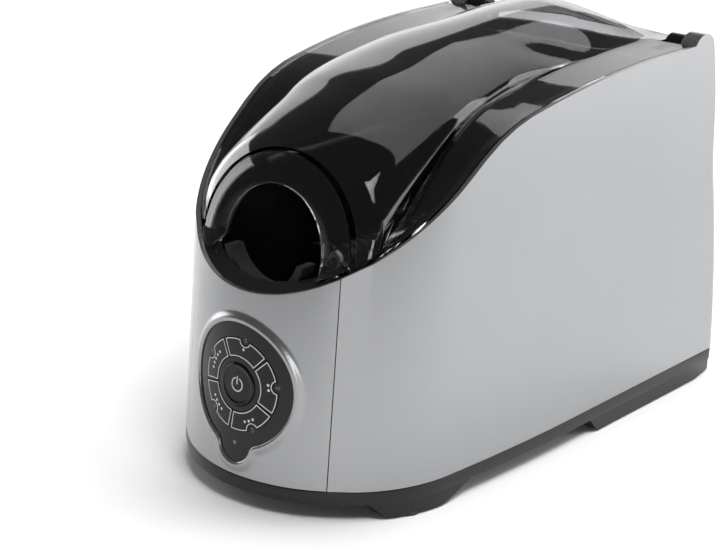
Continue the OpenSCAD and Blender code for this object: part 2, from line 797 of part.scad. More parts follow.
// Half width of the lid at y, inside the housing's edge
function edge_at(y) = y > hinge_y - ear_r - 0.8 ? knuckle[0] - 0.3
    : lookup(y - (top_at(y) - seam_h) * tan(front_lean), edge_table);
function clamp01(t) = max(0, min(1, t));
function ease(t) = let (u = clamp01(t)) u * u * (3 - 2 * u);
function dome_at(y) = min(edge_at(y) - 1.5, y < smooth_from
    ? dome_half[0] + (dome_half[1] - dome_half[0]) * clamp01((y - rim_foot) / (smooth_from - rim_foot))
    : min(dome_half[1] + (dome_half[2] - dome_half[1]) * ease((y - smooth_from) / 70), edge_at(y) - 4));
function rise_at(y) = let (u = clamp01((y - rim_foot) / 105), v = clamp01((y - crest_y) / (lid_rear - crest_y)))
    dome_rise * (1 - v * v) + (rim_rise - dome_rise) * 0.5 * (1 + cos(180 * u));
function lean_at(y) = rim_lean * clamp01((slope_end + 10 - y) / (slope_end + 10 - rim_foot));
function crown_at(x, y) = crown * ease((y - smooth_from) / (lid_rear - smooth_from))
    * max(0, 1 - pow(x / knuckle[0], 2));
function arch(u, y) = let (b = ease((y - smooth_from) / (smooth_to - smooth_from)), q = max(0, 1 - u * u))
    (1 - b) * sqrt(q) + b * pow(q, 1.5);
arch_n = 22;
flange_n = 3;
// One point of the lid's section at foot y: t = 0 outside, t = lid_t inside
function lid_point(y, k, t) =
    let (flange = abs(k) - arch_n / 2, s = sign(k), w = dome_at(y) - t, e = edge_at(y))
    let (u = sin(180 * k / arch_n))
    let (x = flange > 0 ? s * (w + (e - w) * flange / flange_n) : w * u)
    let (z = top_at(y) - t + crown_at(x, y) + (flange > 0 ? 0 : rise_at(y) * arch(u, y)))
    [x, y + (z - top_at(y) + t) * tan(lean_at(y)), z];
arch_k = [for (k = [-arch_n / 2 - flange_n : arch_n / 2 + flange_n]) k];
ear_front = hinge_y - ear_r - 0.8;
lid_start = rim_foot + lid_t + 0.05;
lid_y = concat([for (i = [0 : 11]) lid_start + (slope_end + 10 - lid_start) * i / 12],
    [for (i = [0 : 10]) slope_end + 10 + (crest_y - slope_end - 10) * i / 11],
    [for (i = [0 : 5]) crest_y + (ear_front - crest_y) * i / 5],
    [for (i = [1 : 4]) ear_front + 0.2 + (lid_rear - ear_front - 0.2) * (i - 1) / 3]);

// A closed wall between two grids of points with n rows and m columns
function wall_faces(n, m) = concat(
    [for (i = [0 : n - 2]) for (j = [0 : m - 2])
        for (f = quad(i * m + j, i * m + j + 1, (i + 1) * m + j + 1, (i + 1) * m + j)) f],
    [for (i = [0 : n - 2]) for (j = [0 : m - 2]) let (o = n * m)
        for (f = quad(o + i * m + j, o + (i + 1) * m + j, o + (i + 1) * m + j + 1, o + i * m + j + 1)) f],
    [for (i = [0 : n - 2]) let (o = n * m)
        for (f = quad(i * m, (i + 1) * m, o + (i + 1) * m, o + i * m)) f],
    [for (i = [0 : n - 2]) let (o = n * m)
        for (f = quad(i * m + m - 1, o + i * m + m - 1, o + (i + 1) * m + m - 1, (i + 1) * m + m - 1)) f],
    [for (j = [0 : m - 2]) let (o = n * m)
        for (f = quad(j, o + j, o + j + 1, j + 1)) f],
    [for (j = [0 : m - 2]) let (o = n * m, r = (n - 1) * m)
        for (f = quad(r + j, r + j + 1, o + r + j + 1, o + r + j)) f]);
function quad(a, b, c, d) = [[a, c, b], [a, d, c]];

module lid_dome() {
    outside = [for (y = lid_y) for (k = arch_k) lid_point(y, k, 0)];
    inside = [for (y = lid_y) for (k = arch_k) lid_point(y, k, lid_t)];
    color(smoke) polyhedron(concat(outside, inside), wall_faces(len(lid_y), len(arch_k)));
}

// The collar: from the lid's rim to the neck opening
neck_foot = front_y + 21;
collar_n = 4;
function rim_point(k) = lid_point(rim_foot, k, 0);
function neck_point(k) =
    let (a = 180 * k / arch_n, foot = abs(k) > arch_n / 2)
    let (z = foot ? top_at(neck_foot) + 0.2 : bottle_z - 4.8 + neck_r * cos(a))
    let (x = foot ? sign(k) * (edge_at(neck_foot) - 0.6) : (neck_r + 0.4) * sin(a))
    [x, foot ? neck_foot : front_y + 29 + (z - bottle_z + 4.8) * tan(9), z];
function collar_point(k, i, t) =
    let (s = i / collar_n, p = rim_point(k) * (1 - s) + neck_point(k) * s)
    let (e = min(abs(p.x), edge_at(p.y) - 0.3) * sign(p.x))
    [e * (1 - t / 90), p.y + t, max(p.z, top_at(p.y) + 0.1) - t * 0.3 + 0.02 * t * (1 - s)];
collar_k = [for (k = [-arch_n / 2 - 1 : arch_n / 2 + 1]) k];

module lid_collar() {
    outside = [for (i = [collar_n : -1 : 0]) for (k = collar_k) collar_point(k, i, 0)];
    inside = [for (i = [collar_n : -1 : 0]) for (k = collar_k) collar_point(k, i, lid_t)];
    color(smoke) polyhedron(concat(outside, inside), wall_faces(collar_n + 1, len(collar_k)));
}
module lid_seal() {
    color(rubber) difference() {
        intersection() {
            leaning(wall + lid_gap + 0.8);
            top_cut(lid_t + 0.35);
            translate([-half_w, front_y + reach, lip_h])
                cube([body_width, tub_rear - 20 - front_y - reach, side_top]);
        }
        leaning(wall + lid_gap + 4);
        top_cut(rim_drop - 0.4);
    }
}
module hinge_knuckles() {
    color(smoke) both_sides() difference() {
        union() {
            x_cylinder(hinge_y, hinge_z, knuckle[0], knuckle[1], knuckle_r);
            translate([knuckle[0], tub_rear - 14, side_top - lid_t - 6])
                cube([knuckle[1] - knuckle[0], hinge_y - tub_rear + 14, 6]);
        }
        x_cylinder(hinge_y, hinge_z, knuckle[0] - 1, knuckle[1] + 1, pin_r + run_gap);
    }
}
module hinge_pins() {
    color(steel) both_sides() x_cylinder(hinge_y, hinge_z, knuckle[0] + 1, half_w - 2.2, pin_r);
}
module key_top() {
    key(0);
}
module key_right() {
    key(1);
}
module key_lower_right() {
    key(2);
}
module key_lower_left() {
    key(3);
}
module key_left() {
    key(4);
}

base_tray();
foot_pads();
base_screws();
housing_shell();
front_panel();
panel_rim();
control_panel();
mode_lights();
ice_light();
control_board();
key_switches();
basin();
rear_deck();
neck_rest();
roller_cradle();
cradle_screws();
roller_bushes();
drive_seal();
drive_shaft();
drive_sleeves();
drive_pulley();
idler_shaft();
idler_sleeves();
drive_belt();
motor_shaft();
motor_pulley();
spin_motor();
motor_bracket();
pump_housing();
pump_seal();
impeller();
pump_shaft();
pump_motor();
filter_screen();
delivery_pipe();
spray_bar_left();
spray_bar_right();
spray_crossover();
ice_sensor();
power_board();
transformer();
cable_gland();
lid_dome();
lid_collar();
lid_seal();
hinge_knuckles();
hinge_pins();
start_button();
key_top();
key_right();
key_lower_right();
key_lower_left();
key_left();
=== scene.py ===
"""Rapid bottle chiller: the finished look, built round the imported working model."""

import math

import bmesh
import bpy
from mathutils import Matrix, Vector


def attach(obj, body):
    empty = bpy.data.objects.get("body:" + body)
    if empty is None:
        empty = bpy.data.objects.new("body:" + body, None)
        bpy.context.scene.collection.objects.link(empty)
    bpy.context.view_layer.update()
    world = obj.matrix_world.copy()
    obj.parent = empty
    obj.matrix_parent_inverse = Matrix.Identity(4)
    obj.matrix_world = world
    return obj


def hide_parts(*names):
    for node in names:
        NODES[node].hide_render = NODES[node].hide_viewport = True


bl_info = {
    "name": "Rapid bottle chiller",
    "version": (1, 0, 0),
    "blender": (4, 5, 0),
    "location": "View3D > Sidebar > Chiller",
    "description": "Makes the pieces and finishes of a lidded rapid bottle chiller",
    "category": "Object",
}

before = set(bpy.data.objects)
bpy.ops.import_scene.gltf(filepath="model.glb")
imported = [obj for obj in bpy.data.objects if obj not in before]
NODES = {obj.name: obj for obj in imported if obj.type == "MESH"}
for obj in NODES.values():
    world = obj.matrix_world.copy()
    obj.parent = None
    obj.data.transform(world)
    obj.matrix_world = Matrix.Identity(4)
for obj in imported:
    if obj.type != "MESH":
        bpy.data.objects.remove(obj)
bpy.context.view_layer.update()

MM = 0.001
CHASSIS = "chassis"
RIGHT_ANGLE = math.pi / 2
SHARP = math.radians(38)


# ---- sizes --------------------------------------------------------------------------------
def length(name, description, default):
    """A length in metres, its default given in millimetres."""
    return bpy.props.FloatProperty(
        name=name, description=description, default=default * MM, min=0.0, unit="LENGTH", precision=4
    )


def angle(name, description, default):
    """An angle, its default given in degrees."""
    return bpy.props.FloatProperty(
        name=name, description=description, default=math.radians(default), subtype="ANGLE"
    )


def colour(name, description, default):
    """A finish's colour."""
    return bpy.props.FloatVectorProperty(
        name=name, description=description, default=default, size=3, min=0.0, max=1.0, subtype="COLOR"
    )


class ChillerBody(bpy.types.PropertyGroup):
    """Sizes of the housing and the base."""

    length: length("Length", "From the front to the rear", 338)
    width: length("Width", "Across the side walls", 177)
    side_top: length("Side height", "Flat top of the side walls", 213)
    seam: length("Seam height", "Seam between the base and the housing", 17)
    wall: length("Wall", "Wall of the housing and the front panel", 2.6)
    lean: angle("Lean", "Backward lean of the front", 4)
    front_turn: angle("Front turn", "Turn of the front from its middle to the panel's seam", 37.4)
    strip_width: length("Strip width", "Flat strip beside the front panel", 15)
    corner_radius: length("Corner radius", "Front corners behind the strip", 78)
    rear_corner: length("Rear corner", "Rounding of the rear corners", 8)
    lip_height: length("Lip height", "Front lip under the bottle's neck", 116.5)
    slope: angle("Slope", "Slope of the side walls' front edge", 37)
    shoulder_radius: length("Shoulder radius", "Where the slope turns into the top", 94)
    ear_radius: length("Ear radius", "Hinge ears", 11.5)
    ear_width: length("Ear width", "One hinge ear", 10.5)
    edge_round: length("Edge rounding", "Rounding of the moulded edges", 0.7)


class ChillerLid(bpy.types.PropertyGroup):
    """Sizes of the clear lid."""

    thickness: length("Thickness", "Wall of the lid", 2.4)
    dome_rise: length("Dome rise", "Rise of the dome at the rear", 17)
    rim_rise: length("Rim rise", "Rise of the arch at the front rim", 48)
    front_half: length("Front half width", "Dome at its front", 62)
    middle_half: length("Middle half width", "Dome at its middle", 53)
    rear_half: length("Rear half width", "Dome at its rear", 60)
    neck_radius: length("Neck radius", "Opening for the bottle's neck", 32.6)
    gap: length("Gap", "Between the lid's edge and the housing", 0.6)
    axis_height: length("Bottle axis", "Height of the bottle's axis", 139.8)


class ChillerPanel(bpy.types.PropertyGroup):
    """Sizes of the control panel."""

    radius: length("Radius", "Round part of the panel", 33)
    height: length("Height", "Centre of the panel over the seam", 49.5)
    tongue_radius: length("Tongue radius", "Tongue under the panel", 10.2)
    tongue_height: length("Tongue height", "Centre of the tongue over the seam", 17.5)
    fillet: length("Fillet", "Between the round part and the tongue", 7)
    rim_width: length("Rim width", "Raised rim round the panel", 5)
    rim_proud: length("Rim height", "Rim over the front panel", 1.5)
    button_radius: length("Button radius", "Start button", 11.5)
    ring_inner: length("Ring inside", "Inner radius of the keys", 14.8)
    ring_outer: length("Ring outside", "Outer radius of the keys", 25)


class ChillerFinish(bpy.types.PropertyGroup):
    """Colours of the finishes."""

    silver: colour("Silver", "Satin paint of the housing", (0.32, 0.324, 0.332))
    graphite: colour("Graphite", "Base and feet", (0.011, 0.011, 0.012))
    gloss_black: colour("Gloss black", "Control panel and keys", (0.004, 0.004, 0.0045))
    basin_black: colour("Basin black", "Basin and pipes", (0.010, 0.010, 0.011))
    smoke: colour("Smoke", "Tint of the clear lid", (0.45, 0.45, 0.465))
    rubber: colour("Rubber", "Sleeves, pads and seals", (0.018, 0.018, 0.019))
    steel: colour("Steel", "Shafts and screws", (0.56, 0.56, 0.57))
    nylon: colour("Nylon", "Bushes and impeller", (0.72, 0.71, 0.67))
    print_ink: colour("Ink", "Printed lines on the keys", (0.62, 0.62, 0.62))
    board: colour("Board", "Circuit boards", (0.010, 0.085, 0.030))
    copper: colour("Copper", "Transformer's winding", (0.50, 0.23, 0.09))
    floor: colour("Floor", "Floor under the chiller", (0.92, 0.92, 0.92))


def steps(start, end, count):
    """Evenly spaced values, both ends included."""
    return [start + (end - start) * i / count for i in range(count + 1)]


def mix(a, b, share):
    """The value that is that share of the way from a to b."""
    return a + (b - a) * share


def clamp(value):
    """The value held between 0 and 1."""
    return max(0.0, min(1.0, value))


def ease(value):
    """A soft step from 0 to 1."""
    held = clamp(value)
    return held * held * (3 - 2 * held)


def along(heading):
    """The plan direction of a heading."""
    return Vector((math.cos(heading), math.sin(heading)))


def inwards(heading):
    """The plan direction to the left of a heading."""
    return Vector((-math.sin(heading), math.cos(heading)))


class Form:
    """The chiller's surfaces, worked out from its sizes."""

    STRIP_HEADING = math.radians(40)
    CREASE_HEADING = math.radians(46)
    SIDE_HEADING = math.radians(84.8)
    BOW_RADIUS = 1210 * MM
    CREASE_SOFT = 0.8 * MM
    TOP_SLOPE = math.radians(11)
    REAR_IN = 0.8 * MM
    REAR_LEAN = (math.radians(2), math.radians(11))
    REAR_BOW = 661 * MM
    RIM_LEAN = math.radians(13)
    CROWN = 2.5 * MM
    SMOOTH = (-10 * MM, 60 * MM)
    HINGE_DROP = 6 * MM
    CREST_AHEAD = 44 * MM
    LIP_BACK = 6 * MM
    # the lid: its rim and its neck behind the front, its rear edge and its flange
    RIM_BACK = 30.5 * MM
    NECK_BACK = 21 * MM
    NECK_FACE_BACK = 29 * MM
    NECK_DROP = 4.8 * MM
    NECK_LEAN = math.radians(9)
    NECK_SPARE = 0.4 * MM
    REAR_EDGE = 3.2 * MM
    KNUCKLE_INSET = 22.5 * MM
    KNUCKLE_SPARE = 0.3 * MM
    EAR_SPARE = 0.8 * MM
    FLANGE = 4 * MM
    LEAST_FLANGE = 1.5 * MM
    DOME_WIDENS = 70 * MM
    ARCH_RUN = 105 * MM
    LEAN_RUN = 10 * MM

    def __init__(self, scene):
        self.body = body = scene.chiller_body
        self.lid = scene.chiller_lid
        self.panel = scene.chiller_panel
        self.half = body.width / 2
        self.front = self.panel.rim_proud - body.length / 2
        self.rear = body.length / 2
        bow = self.BOW_RADIUS * (1 - math.sin(self.SIDE_HEADING))
        corner = body.corner_radius * (math.sin(self.SIDE_HEADING) - math.sin(self.CREASE_HEADING))
        strip = body.strip_width * math.cos(self.STRIP_HEADING)
        self.front_half = self.half - strip - corner - bow
        self.front_radius = self.front_half / math.sin(body.front_turn)
        self.rear_foot = self.rear - self.REAR_IN
        low, high = self.REAR_LEAN
        self.rear_arc = Vector(
            (
                self.rear_foot - self.REAR_BOW * (math.cos(low) - math.cos(high)),
                body.seam + self.REAR_BOW * (math.sin(high) - math.sin(low)),
            )
        )
        self.hinge_z = body.side_top - self.HINGE_DROP
        self.hinge_y = self.rear_at(self.hinge_z) - body.ear_radius / math.cos(high)
        self.crest = self.hinge_y - self.CREST_AHEAD
        lip_y = self.front + self.LIP_BACK
        slope, top, radius = body.slope, self.TOP_SLOPE, body.shoulder_radius
        shoulder_dy = radius * (math.sin(slope) - math.sin(top))
        shoulder_dz = radius * (math.cos(top) - math.cos(slope))
        self.slope_end = (
            body.side_top - shoulder_dz - body.lip_height + lip_y * math.tan(slope)
            - (self.crest - shoulder_dy) * math.tan(top / 2)
        ) / (math.tan(slope) - math.tan(top / 2))
        self.top_start = self.slope_end + shoulder_dy
        self.top_radius = (self.crest - self.top_start) / math.sin(top)
        end_z = body.lip_height + (self.slope_end - lip_y) * math.tan(slope)
        self.lip_y = lip_y
        self.shoulder = Vector(
            (self.slope_end + radius * math.sin(slope), end_z - radius * math.cos(slope))
        )
        self.rim_foot = self.front + self.RIM_BACK
        self.neck_foot = self.front + self.NECK_BACK
        self.lid_rear = self.hinge_y + self.REAR_EDGE
        self.knuckle_in = self.half - self.KNUCKLE_INSET
        self.ear_in = self.half - body.ear_width
        self.ear_front = self.hinge_y - body.ear_radius - self.EAR_SPARE
        self.half_plan = self.plan()
        self.lid_edge = self.inset(body.wall + self.lid.gap)

    def rear_at(self, z):
        """Where the rear wall is at height z, over its bowed foot."""
        return self.rear_arc[0] - (z - self.rear_arc[1]) * math.tan(self.REAR_LEAN[1])

    def rear_wall(self, z):
        """Where the rear wall is at any height."""
        if z > self.rear_arc[1]:
            return self.rear_at(z)
        tilt = math.asin(math.sin(self.REAR_LEAN[0]) + (z - self.body.seam) / self.REAR_BOW)
        return self.rear_foot - self.REAR_BOW * (math.cos(self.REAR_LEAN[0]) - math.cos(tilt))

    def plan(self):
        """Half the plan outline, from the front's middle to the flat side: points with headings."""
        body, radius = self.body, self.front_radius
        centre = Vector((0, self.front + radius))
        path = [(centre - inwards(a) * radius, a) for a in steps(0, body.front_turn, 14)]
        seam = path[-1][0]
        strip = along(self.STRIP_HEADING)
        soft = self.CREASE_SOFT
        for reach in (soft, body.strip_width / 2, body.strip_width - soft, body.strip_width):
            path.append((seam + strip * reach, self.STRIP_HEADING))
        first, last = self.CREASE_HEADING, self.SIDE_HEADING
        centre = path[-1][0] + inwards(first) * body.corner_radius
        turns = [first + soft / body.corner_radius] + steps(first, last, 16)[1:]
        path += [(centre - inwards(a) * body.corner_radius, a) for a in turns]
        centre = path[-1][0] + inwards(last) * self.BOW_RADIUS
        path += [(centre - inwards(a) * self.BOW_RADIUS, a) for a in steps(last, RIGHT_ANGLE, 10)[1:]]
        return path

    def inset(self, depth):
        """The half outline moved inwards, as (y, x) pairs."""
        moved = [point + inwards(heading) * depth for point, heading in self.half_plan]
        return [(p.y, p.x) for p in moved]

    def leaned(self, x, y, z):
        """The point over a plan point at height z, on the leaning wall."""
        tilt = self.body.lean
        back = self.front + (y - self.front) / math.cos(tilt) + (z - self.body.seam) * math.tan(tilt)
        return Vector((x, back, z))

    def top_at(self, y):
        """Height of the side walls' top edge."""
        body = self.body
        if y < self.slope_end:
            return body.lip_height + (y - self.lip_y) * math.tan(body.slope)
        if y < self.top_start:
            reach = body.shoulder_radius**2 - (y - self.shoulder[0]) ** 2
            return self.shoulder[1] + math.sqrt(reach)
        if y < self.crest:
            return body.side_top - self.top_radius + math.sqrt(self.top_radius**2 - (self.crest - y) ** 2)
        return body.side_top

    def wall_top(self, y):
        """Height of the wall's top edge, ears included."""
        reach = self.body.ear_radius**2 - (y - self.hinge_y) ** 2
        ear = self.hinge_z + math.sqrt(reach) if reach > 0 else 0.0
        flat = self.top_at(y) if y < self.hinge_y else self.hinge_z
        return max(flat, ear)

    def rim_height(self, at, first, top):
        """The height at which a wall column meets its top line."""
        z = first
        for _ in range(12):
            z = top(at(z).y)
        return z

    # -- control panel's own plane: u across, v up the lean, d out of the surface
    def on_front(self, u, v, d=0.0):
        """A point of the front's curved face, d over it."""
        radius = self.front_radius + d
        deep = self.front_radius - math.sqrt(max(radius * radius - u * u, 0.0))
        tilt = self.body.lean
        return Vector(
            (
                u,
                self.front + deep * math.cos(tilt) + v * math.sin(tilt),
                self.body.seam + v * math.cos(tilt) - deep * math.sin(tilt),
            )
        )

    def panel_outline(self, grow):
        """The drop shape of the panel, moved outwards by grow."""
        panel = self.panel
        big, small = Vector((0, panel.height)), Vector((0, panel.tongue_height))
        far, near = panel.radius + panel.fillet, panel.tongue_radius + panel.fillet
        apart = big.y - small.y
        down = (far * far - near * near + apart * apart) / (2 * apart)
        fillet = Vector((math.sqrt(far * far - down * down), big.y - down))
        start = math.atan2(fillet.y - big.y, fillet.x)
        low = math.atan2(fillet.y - small.y, fillet.x)

        def arc(centre, radius, first, last, count):
            return [centre + along(a) * radius for a in steps(first, last, count)]

        left = Vector((-fillet.x, fillet.y))
        outline = arc(big, panel.radius + grow, start, math.pi - start, 108)
        outline += arc(left, panel.fillet - grow, -start, -low, 8)[1:]
        outline += arc(small, panel.tongue_radius + grow, -math.pi - low, low, 28)[1:]
        outline += arc(fillet, panel.fillet - grow, low + math.pi, start + math.pi, 8)[1:-1]
        return outline

    # -- lid
    def edge_at(self, y):
        """Half width of the lid, inside the housing's edge."""
        if y > self.ear_front:
            return self.knuckle_in - self.KNUCKLE_SPARE
        plan_y = y - (self.top_at(y) - self.body.seam) * math.tan(self.body.lean)
        table = self.lid_edge
        if plan_y >= table[-1][0]:
            return table[-1][1]
        for (y0, x0), (y1, x1) in zip(table, table[1:]):
            if y0 <= plan_y <= y1:
                return mix(x0, x1, (plan_y - y0) / (y1 - y0))
        return table[0][1]

    def dome_at(self, y):
        """Half width of the dome."""
        lid, soft = self.lid, self.SMOOTH[0]
        if y < soft:
            wide = mix(lid.front_half, lid.middle_half, clamp((y - self.rim_foot) / (soft - self.rim_foot)))
        else:
            wide = mix(lid.middle_half, lid.rear_half, ease((y - soft) / self.DOME_WIDENS))
            wide = min(wide, self.edge_at(y) - self.FLANGE)
        return min(self.edge_at(y) - self.LEAST_FLANGE, wide)

    def rise_at(self, y):
        """Rise of the dome over its flange."""
        lid = self.lid
        run = clamp((y - self.rim_foot) / self.ARCH_RUN)
        fall = clamp((y - self.crest) / (self.lid_rear - self.crest))
        front = (lid.rim_rise - lid.dome_rise) * 0.5 * (1 + math.cos(math.pi * run))
        return lid.dome_rise * (1 - fall * fall) + front

    def lid_section(self, y, arch_count=40, flange_count=5):
        """One cross section of the lid at foot y, from its left edge to its right edge."""
        start, end = self.SMOOTH
        blend = ease((y - start) / (end - start))
        wide, edge, top = self.dome_at(y), self.edge_at(y), self.top_at(y)
        run = self.slope_end + self.LEAN_RUN
        tilt = math.tan(self.RIM_LEAN * clamp((run - y) / (run - self.rim_foot)))
        crown = self.CROWN * ease((y - start) / (self.lid_rear - start))
        across = [-mix(wide, edge, share) for share in steps(1, 0, flange_count)][:-1]
        across += [wide * math.sin(a) for a in steps(-RIGHT_ANGLE, RIGHT_ANGLE, arch_count)]
        across += [mix(wide, edge, share) for share in steps(0, 1, flange_count)][1:]
        points = []
        for x in across:
            inside = max(0.0, 1 - (x / wide) ** 2)
            lift = self.rise_at(y) * ((1 - blend) * math.sqrt(inside) + blend * inside**1.5)
            z = top + crown * max(0.0, 1 - (x / self.knuckle_in) ** 2) + lift
            points.append(Vector((x, y + (z - top) * tilt, z)))
        return points

    def neck_row(self, count, spare):
        """The collar's inner edge: round the neck, and down to the housing at both ends."""
        centre = self.lid.axis_height - self.NECK_DROP
        foot = self.neck_foot
        row = []
        for a in steps(-RIGHT_ANGLE, RIGHT_ANGLE, count):
            z = centre + self.lid.neck_radius * math.cos(a)
            y = self.front + self.NECK_FACE_BACK + (z - centre) * math.tan(self.NECK_LEAN)
            row.append(Vector(((self.lid.neck_radius + self.NECK_SPARE) * math.sin(a), y, z)))
        for side in (-1, 1):
            end = Vector((side * (self.edge_at(foot) - 0.6 * MM), foot, self.top_at(foot) + 0.2 * MM))
            near = row[0] if side < 0 else row[-1]
            ends = [near.lerp(end, share) for share in steps(0, 1, spare)][1:]
            row = ends[::-1] + row if side < 0 else row + ends
        return row


# ---- meshes -------------------------------------------------------------------------------
def loft(rows, closed=False, cap_first=False, cap_last=False):
    """A skin through rows of points: the first is laid out, then extruded and moved row by row."""
    bm = bmesh.new()
    place = bm.verts.layers.int.new("place")
    line = [bm.verts.new(point) for point in rows[0]]
    for i, vert in enumerate(line):
        vert[place] = i
    pairs = list(zip(line, line[1:]))
    if closed:
        pairs.append((line[-1], line[0]))
    edges = [bm.edges.new(pair) for pair in pairs]
    first = list(edges)
    for row in rows[1:]:
        made = bmesh.ops.extrude_edge_only(bm, edges=edges)["geom"]
        verts = {item for item in made if isinstance(item, bmesh.types.BMVert)}
        for vert in verts:
            vert.co = row[vert[place]]
        edges = [
            item for item in made
            if isinstance(item, bmesh.types.BMEdge) and all(v in verts for v in item.verts)
        ]
    if cap_first:
        bmesh.ops.edgeloop_fill(bm, edges=first)
    if cap_last:
        bmesh.ops.edgeloop_fill(bm, edges=edges)
    return bm


def outward(bm, centre):
    """Turns an open skin's faces away from a centre."""
    bmesh.ops.recalc_face_normals(bm, faces=bm.faces)
    lean = sum((f.calc_center_median() - centre).dot(f.normal) * f.calc_area() for f in bm.faces)
    if lean < 0:
        bmesh.ops.reverse_faces(bm, faces=bm.faces)


def joined(meshes):
    """Several meshes as one."""
    whole = bmesh.new()
    for bm in meshes:
        part = bpy.data.meshes.new("part")
        bm.to_mesh(part)
        bm.free()
        whole.from_mesh(part)
        bpy.data.meshes.remove(part)
    return whole


def piece(name, bm, body, nodes, paint, wall=0.0, edge=0.0, centre=None, even=True):
    """A finished piece that stands for CAD nodes and rides on their body."""
    bmesh.ops.remove_doubles(bm, verts=bm.verts, dist=1e-6)
    if centre is None:
        bmesh.ops.recalc_face_normals(bm, faces=bm.faces)
    else:
        outward(bm, Vector(centre))
    mesh = bpy.data.meshes.new(name)
    bm.to_mesh(mesh)
    bm.free()
    mesh.shade_smooth()
    mesh.set_sharp_from_angle(angle=SHARP)
    mesh.materials.append(paint)
    thing = bpy.data.objects.new(name, mesh)
    bpy.context.scene.collection.objects.link(thing)
    if wall:
        solid = thing.modifiers.new("wall", "SOLIDIFY")
        solid.thickness = wall
        solid.offset = -1
        solid.use_even_offset = even
    if edge:
        bevel = thing.modifiers.new("edge", "BEVEL")
        bevel.width = edge
        bevel.segments = 3
        bevel.limit_method = "ANGLE"
        bevel.angle_limit = SHARP
        weighted = thing.modifiers.new("shading", "WEIGHTED_NORMAL")
        weighted.keep_sharp = True
    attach(thing, body)
    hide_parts(*nodes)
    return thing


def dress(nodes, paint):
    """Gives CAD nodes whose shape is right a finish."""
    for name in nodes:
        NODES[name].data.materials.clear()
        NODES[name].data.materials.append(paint)


# ---- materials ----------------------------------------------------------------------------
class Value:
    """A number running through a material's nodes."""

    def __init__(self, paint, socket):
        self.paint = paint
        self.socket = socket

    def maths(self, operation, first, *others):
        """The result of a Math node."""
        sockets = dict(enumerate((first, *others)))
        return self.paint.node("ShaderNodeMath", {"operation": operation}, sockets)

    def __add__(self, other):
        return self.maths("ADD", self, other)

    def __sub__(self, other):
        return self.maths("SUBTRACT", self, other)

    def __mul__(self, other):
        return self.maths("MULTIPLY", self, other)

    def __truediv__(self, other):
        return self.maths("DIVIDE", self, other)

    def __rsub__(self, other):
        return self.maths("SUBTRACT", other, self)

    def __pow__(self, other):
        return self.maths("POWER", self, other)

    def __abs__(self):
        return self.maths("ABSOLUTE", self)

    __rmul__ = __mul__

    def lowest(self, other):
        """The lower of two values."""
        return self.maths("MINIMUM", self, other)

    def highest(self, other):
        """The higher of two values."""
        return self.maths("MAXIMUM", self, other)

    def soft_step(self, start, end):
        """0 before start, 1 after end, and smooth between them."""
        settings = {"interpolation_type": "SMOOTHSTEP"}
        return self.paint.node("ShaderNodeMapRange", settings, {0: self, 1: start, 2: end})

    def called(self, function):
        """A one-value function of this value, such as COSINE."""
        return self.maths(function, self)


class Paint:
    """A material and the nodes that make its finish."""

    def __init__(self, name, **constants):
        self.material = bpy.data.materials.new(name)
        self.material.use_nodes = True
        self.tree = self.material.node_tree
        self.shader = self.tree.nodes["Principled BSDF"]
        for socket, value in constants.items():
            self.shader.inputs[socket.replace("_", " ").title().replace("Ior", "IOR")].default_value = value
        self.coordinates = self.tree.nodes.new("ShaderNodeTexCoord").outputs["Object"]

    def node(self, kind, settings=None, sockets=None, output=0):
        """Adds a node: its settings first, then the values or links of its sockets."""
        made = self.tree.nodes.new(kind)
        for name, value in (settings or {}).items():
            setattr(made, name, value)
        for name, value in (sockets or {}).items():
            self.plug(made.inputs[name], value)
        return Value(self, made.outputs[output])

    def plug(self, socket, value):
        """Links a socket, or sets its value."""
        if isinstance(value, Value):
            self.tree.links.new(value.socket, socket)
        elif isinstance(value, bpy.types.NodeSocket):
            self.tree.links.new(value, socket)
        else:
            socket.default_value = value

    def feed(self, **values):
        """Feeds the shader's varying sockets."""
        for name, value in values.items():
            self.plug(self.shader.inputs[name.replace("_", " ").title()], value)
        return self.material

    def axes(self, stretch=(1, 1, 1)):
        """Object coordinates, each axis scaled."""
        return self.node(
            "ShaderNodeMapping", {}, {"Vector": self.coordinates, "Scale": stretch}
        )

    def noise(self, scale, detail=3.0, stretch=(1, 1, 1), roughness=0.55):
        """Noise around 0.5."""
        return self.node(
            "ShaderNodeTexNoise", {},
            {"Vector": self.axes(stretch), "Scale": scale, "Detail": detail, "Roughness": roughness},
        )

    def split(self):
        """Object coordinates as three values."""
        made = self.tree.nodes.new("ShaderNodeSeparateXYZ")
        self.tree.links.new(self.coordinates, made.inputs[0])
        return [Value(self, socket) for socket in made.outputs]

    def blend(self, share, first, second):
        """Two colours mixed."""
        settings = {"data_type": "RGBA"}
        colours = [tuple(c) + (1,) if not isinstance(c, Value) else c for c in (first, second)]
        return self.node(
            "ShaderNodeMix", settings, {0: share, 6: colours[0], 7: colours[1]}, output=2
        )

    def bump(self, height, strength, distance):
        """A normal from a height."""
        return self.node(
            "ShaderNodeBump", {}, {"Height": height, "Strength": strength, "Distance": distance}
        )


def shade(tint, share):
    """A colour made lighter or darker by a share."""
    return tuple(min(1.0, channel * share) for channel in tint)


def silver_paint(name, tint):
    """Satin metallic lacquer: fine flake, faint cloudiness, and a soft clear coat."""
    paint = Paint(name, metallic=0.9, coat_roughness=0.22)
    flake = paint.noise(4200, 2.0)
    cloud = paint.noise(9, 2.0)
    tone = (flake - 0.5) * 0.5 + (cloud - 0.5) * 0.25 + 0.5
    colours = paint.blend(tone.soft_step(0.1, 0.9), shade(tint, 0.93), shade(tint, 1.07))
    return paint.feed(
        base_color=colours,
        roughness=(flake - 0.5) * 0.10 + (cloud - 0.5) * 0.05 + 0.26,
        coat_weight=(cloud - 0.5) * 0.1 + 0.22,
        normal=paint.bump(flake, 0.05, 0.05 * MM),
    )


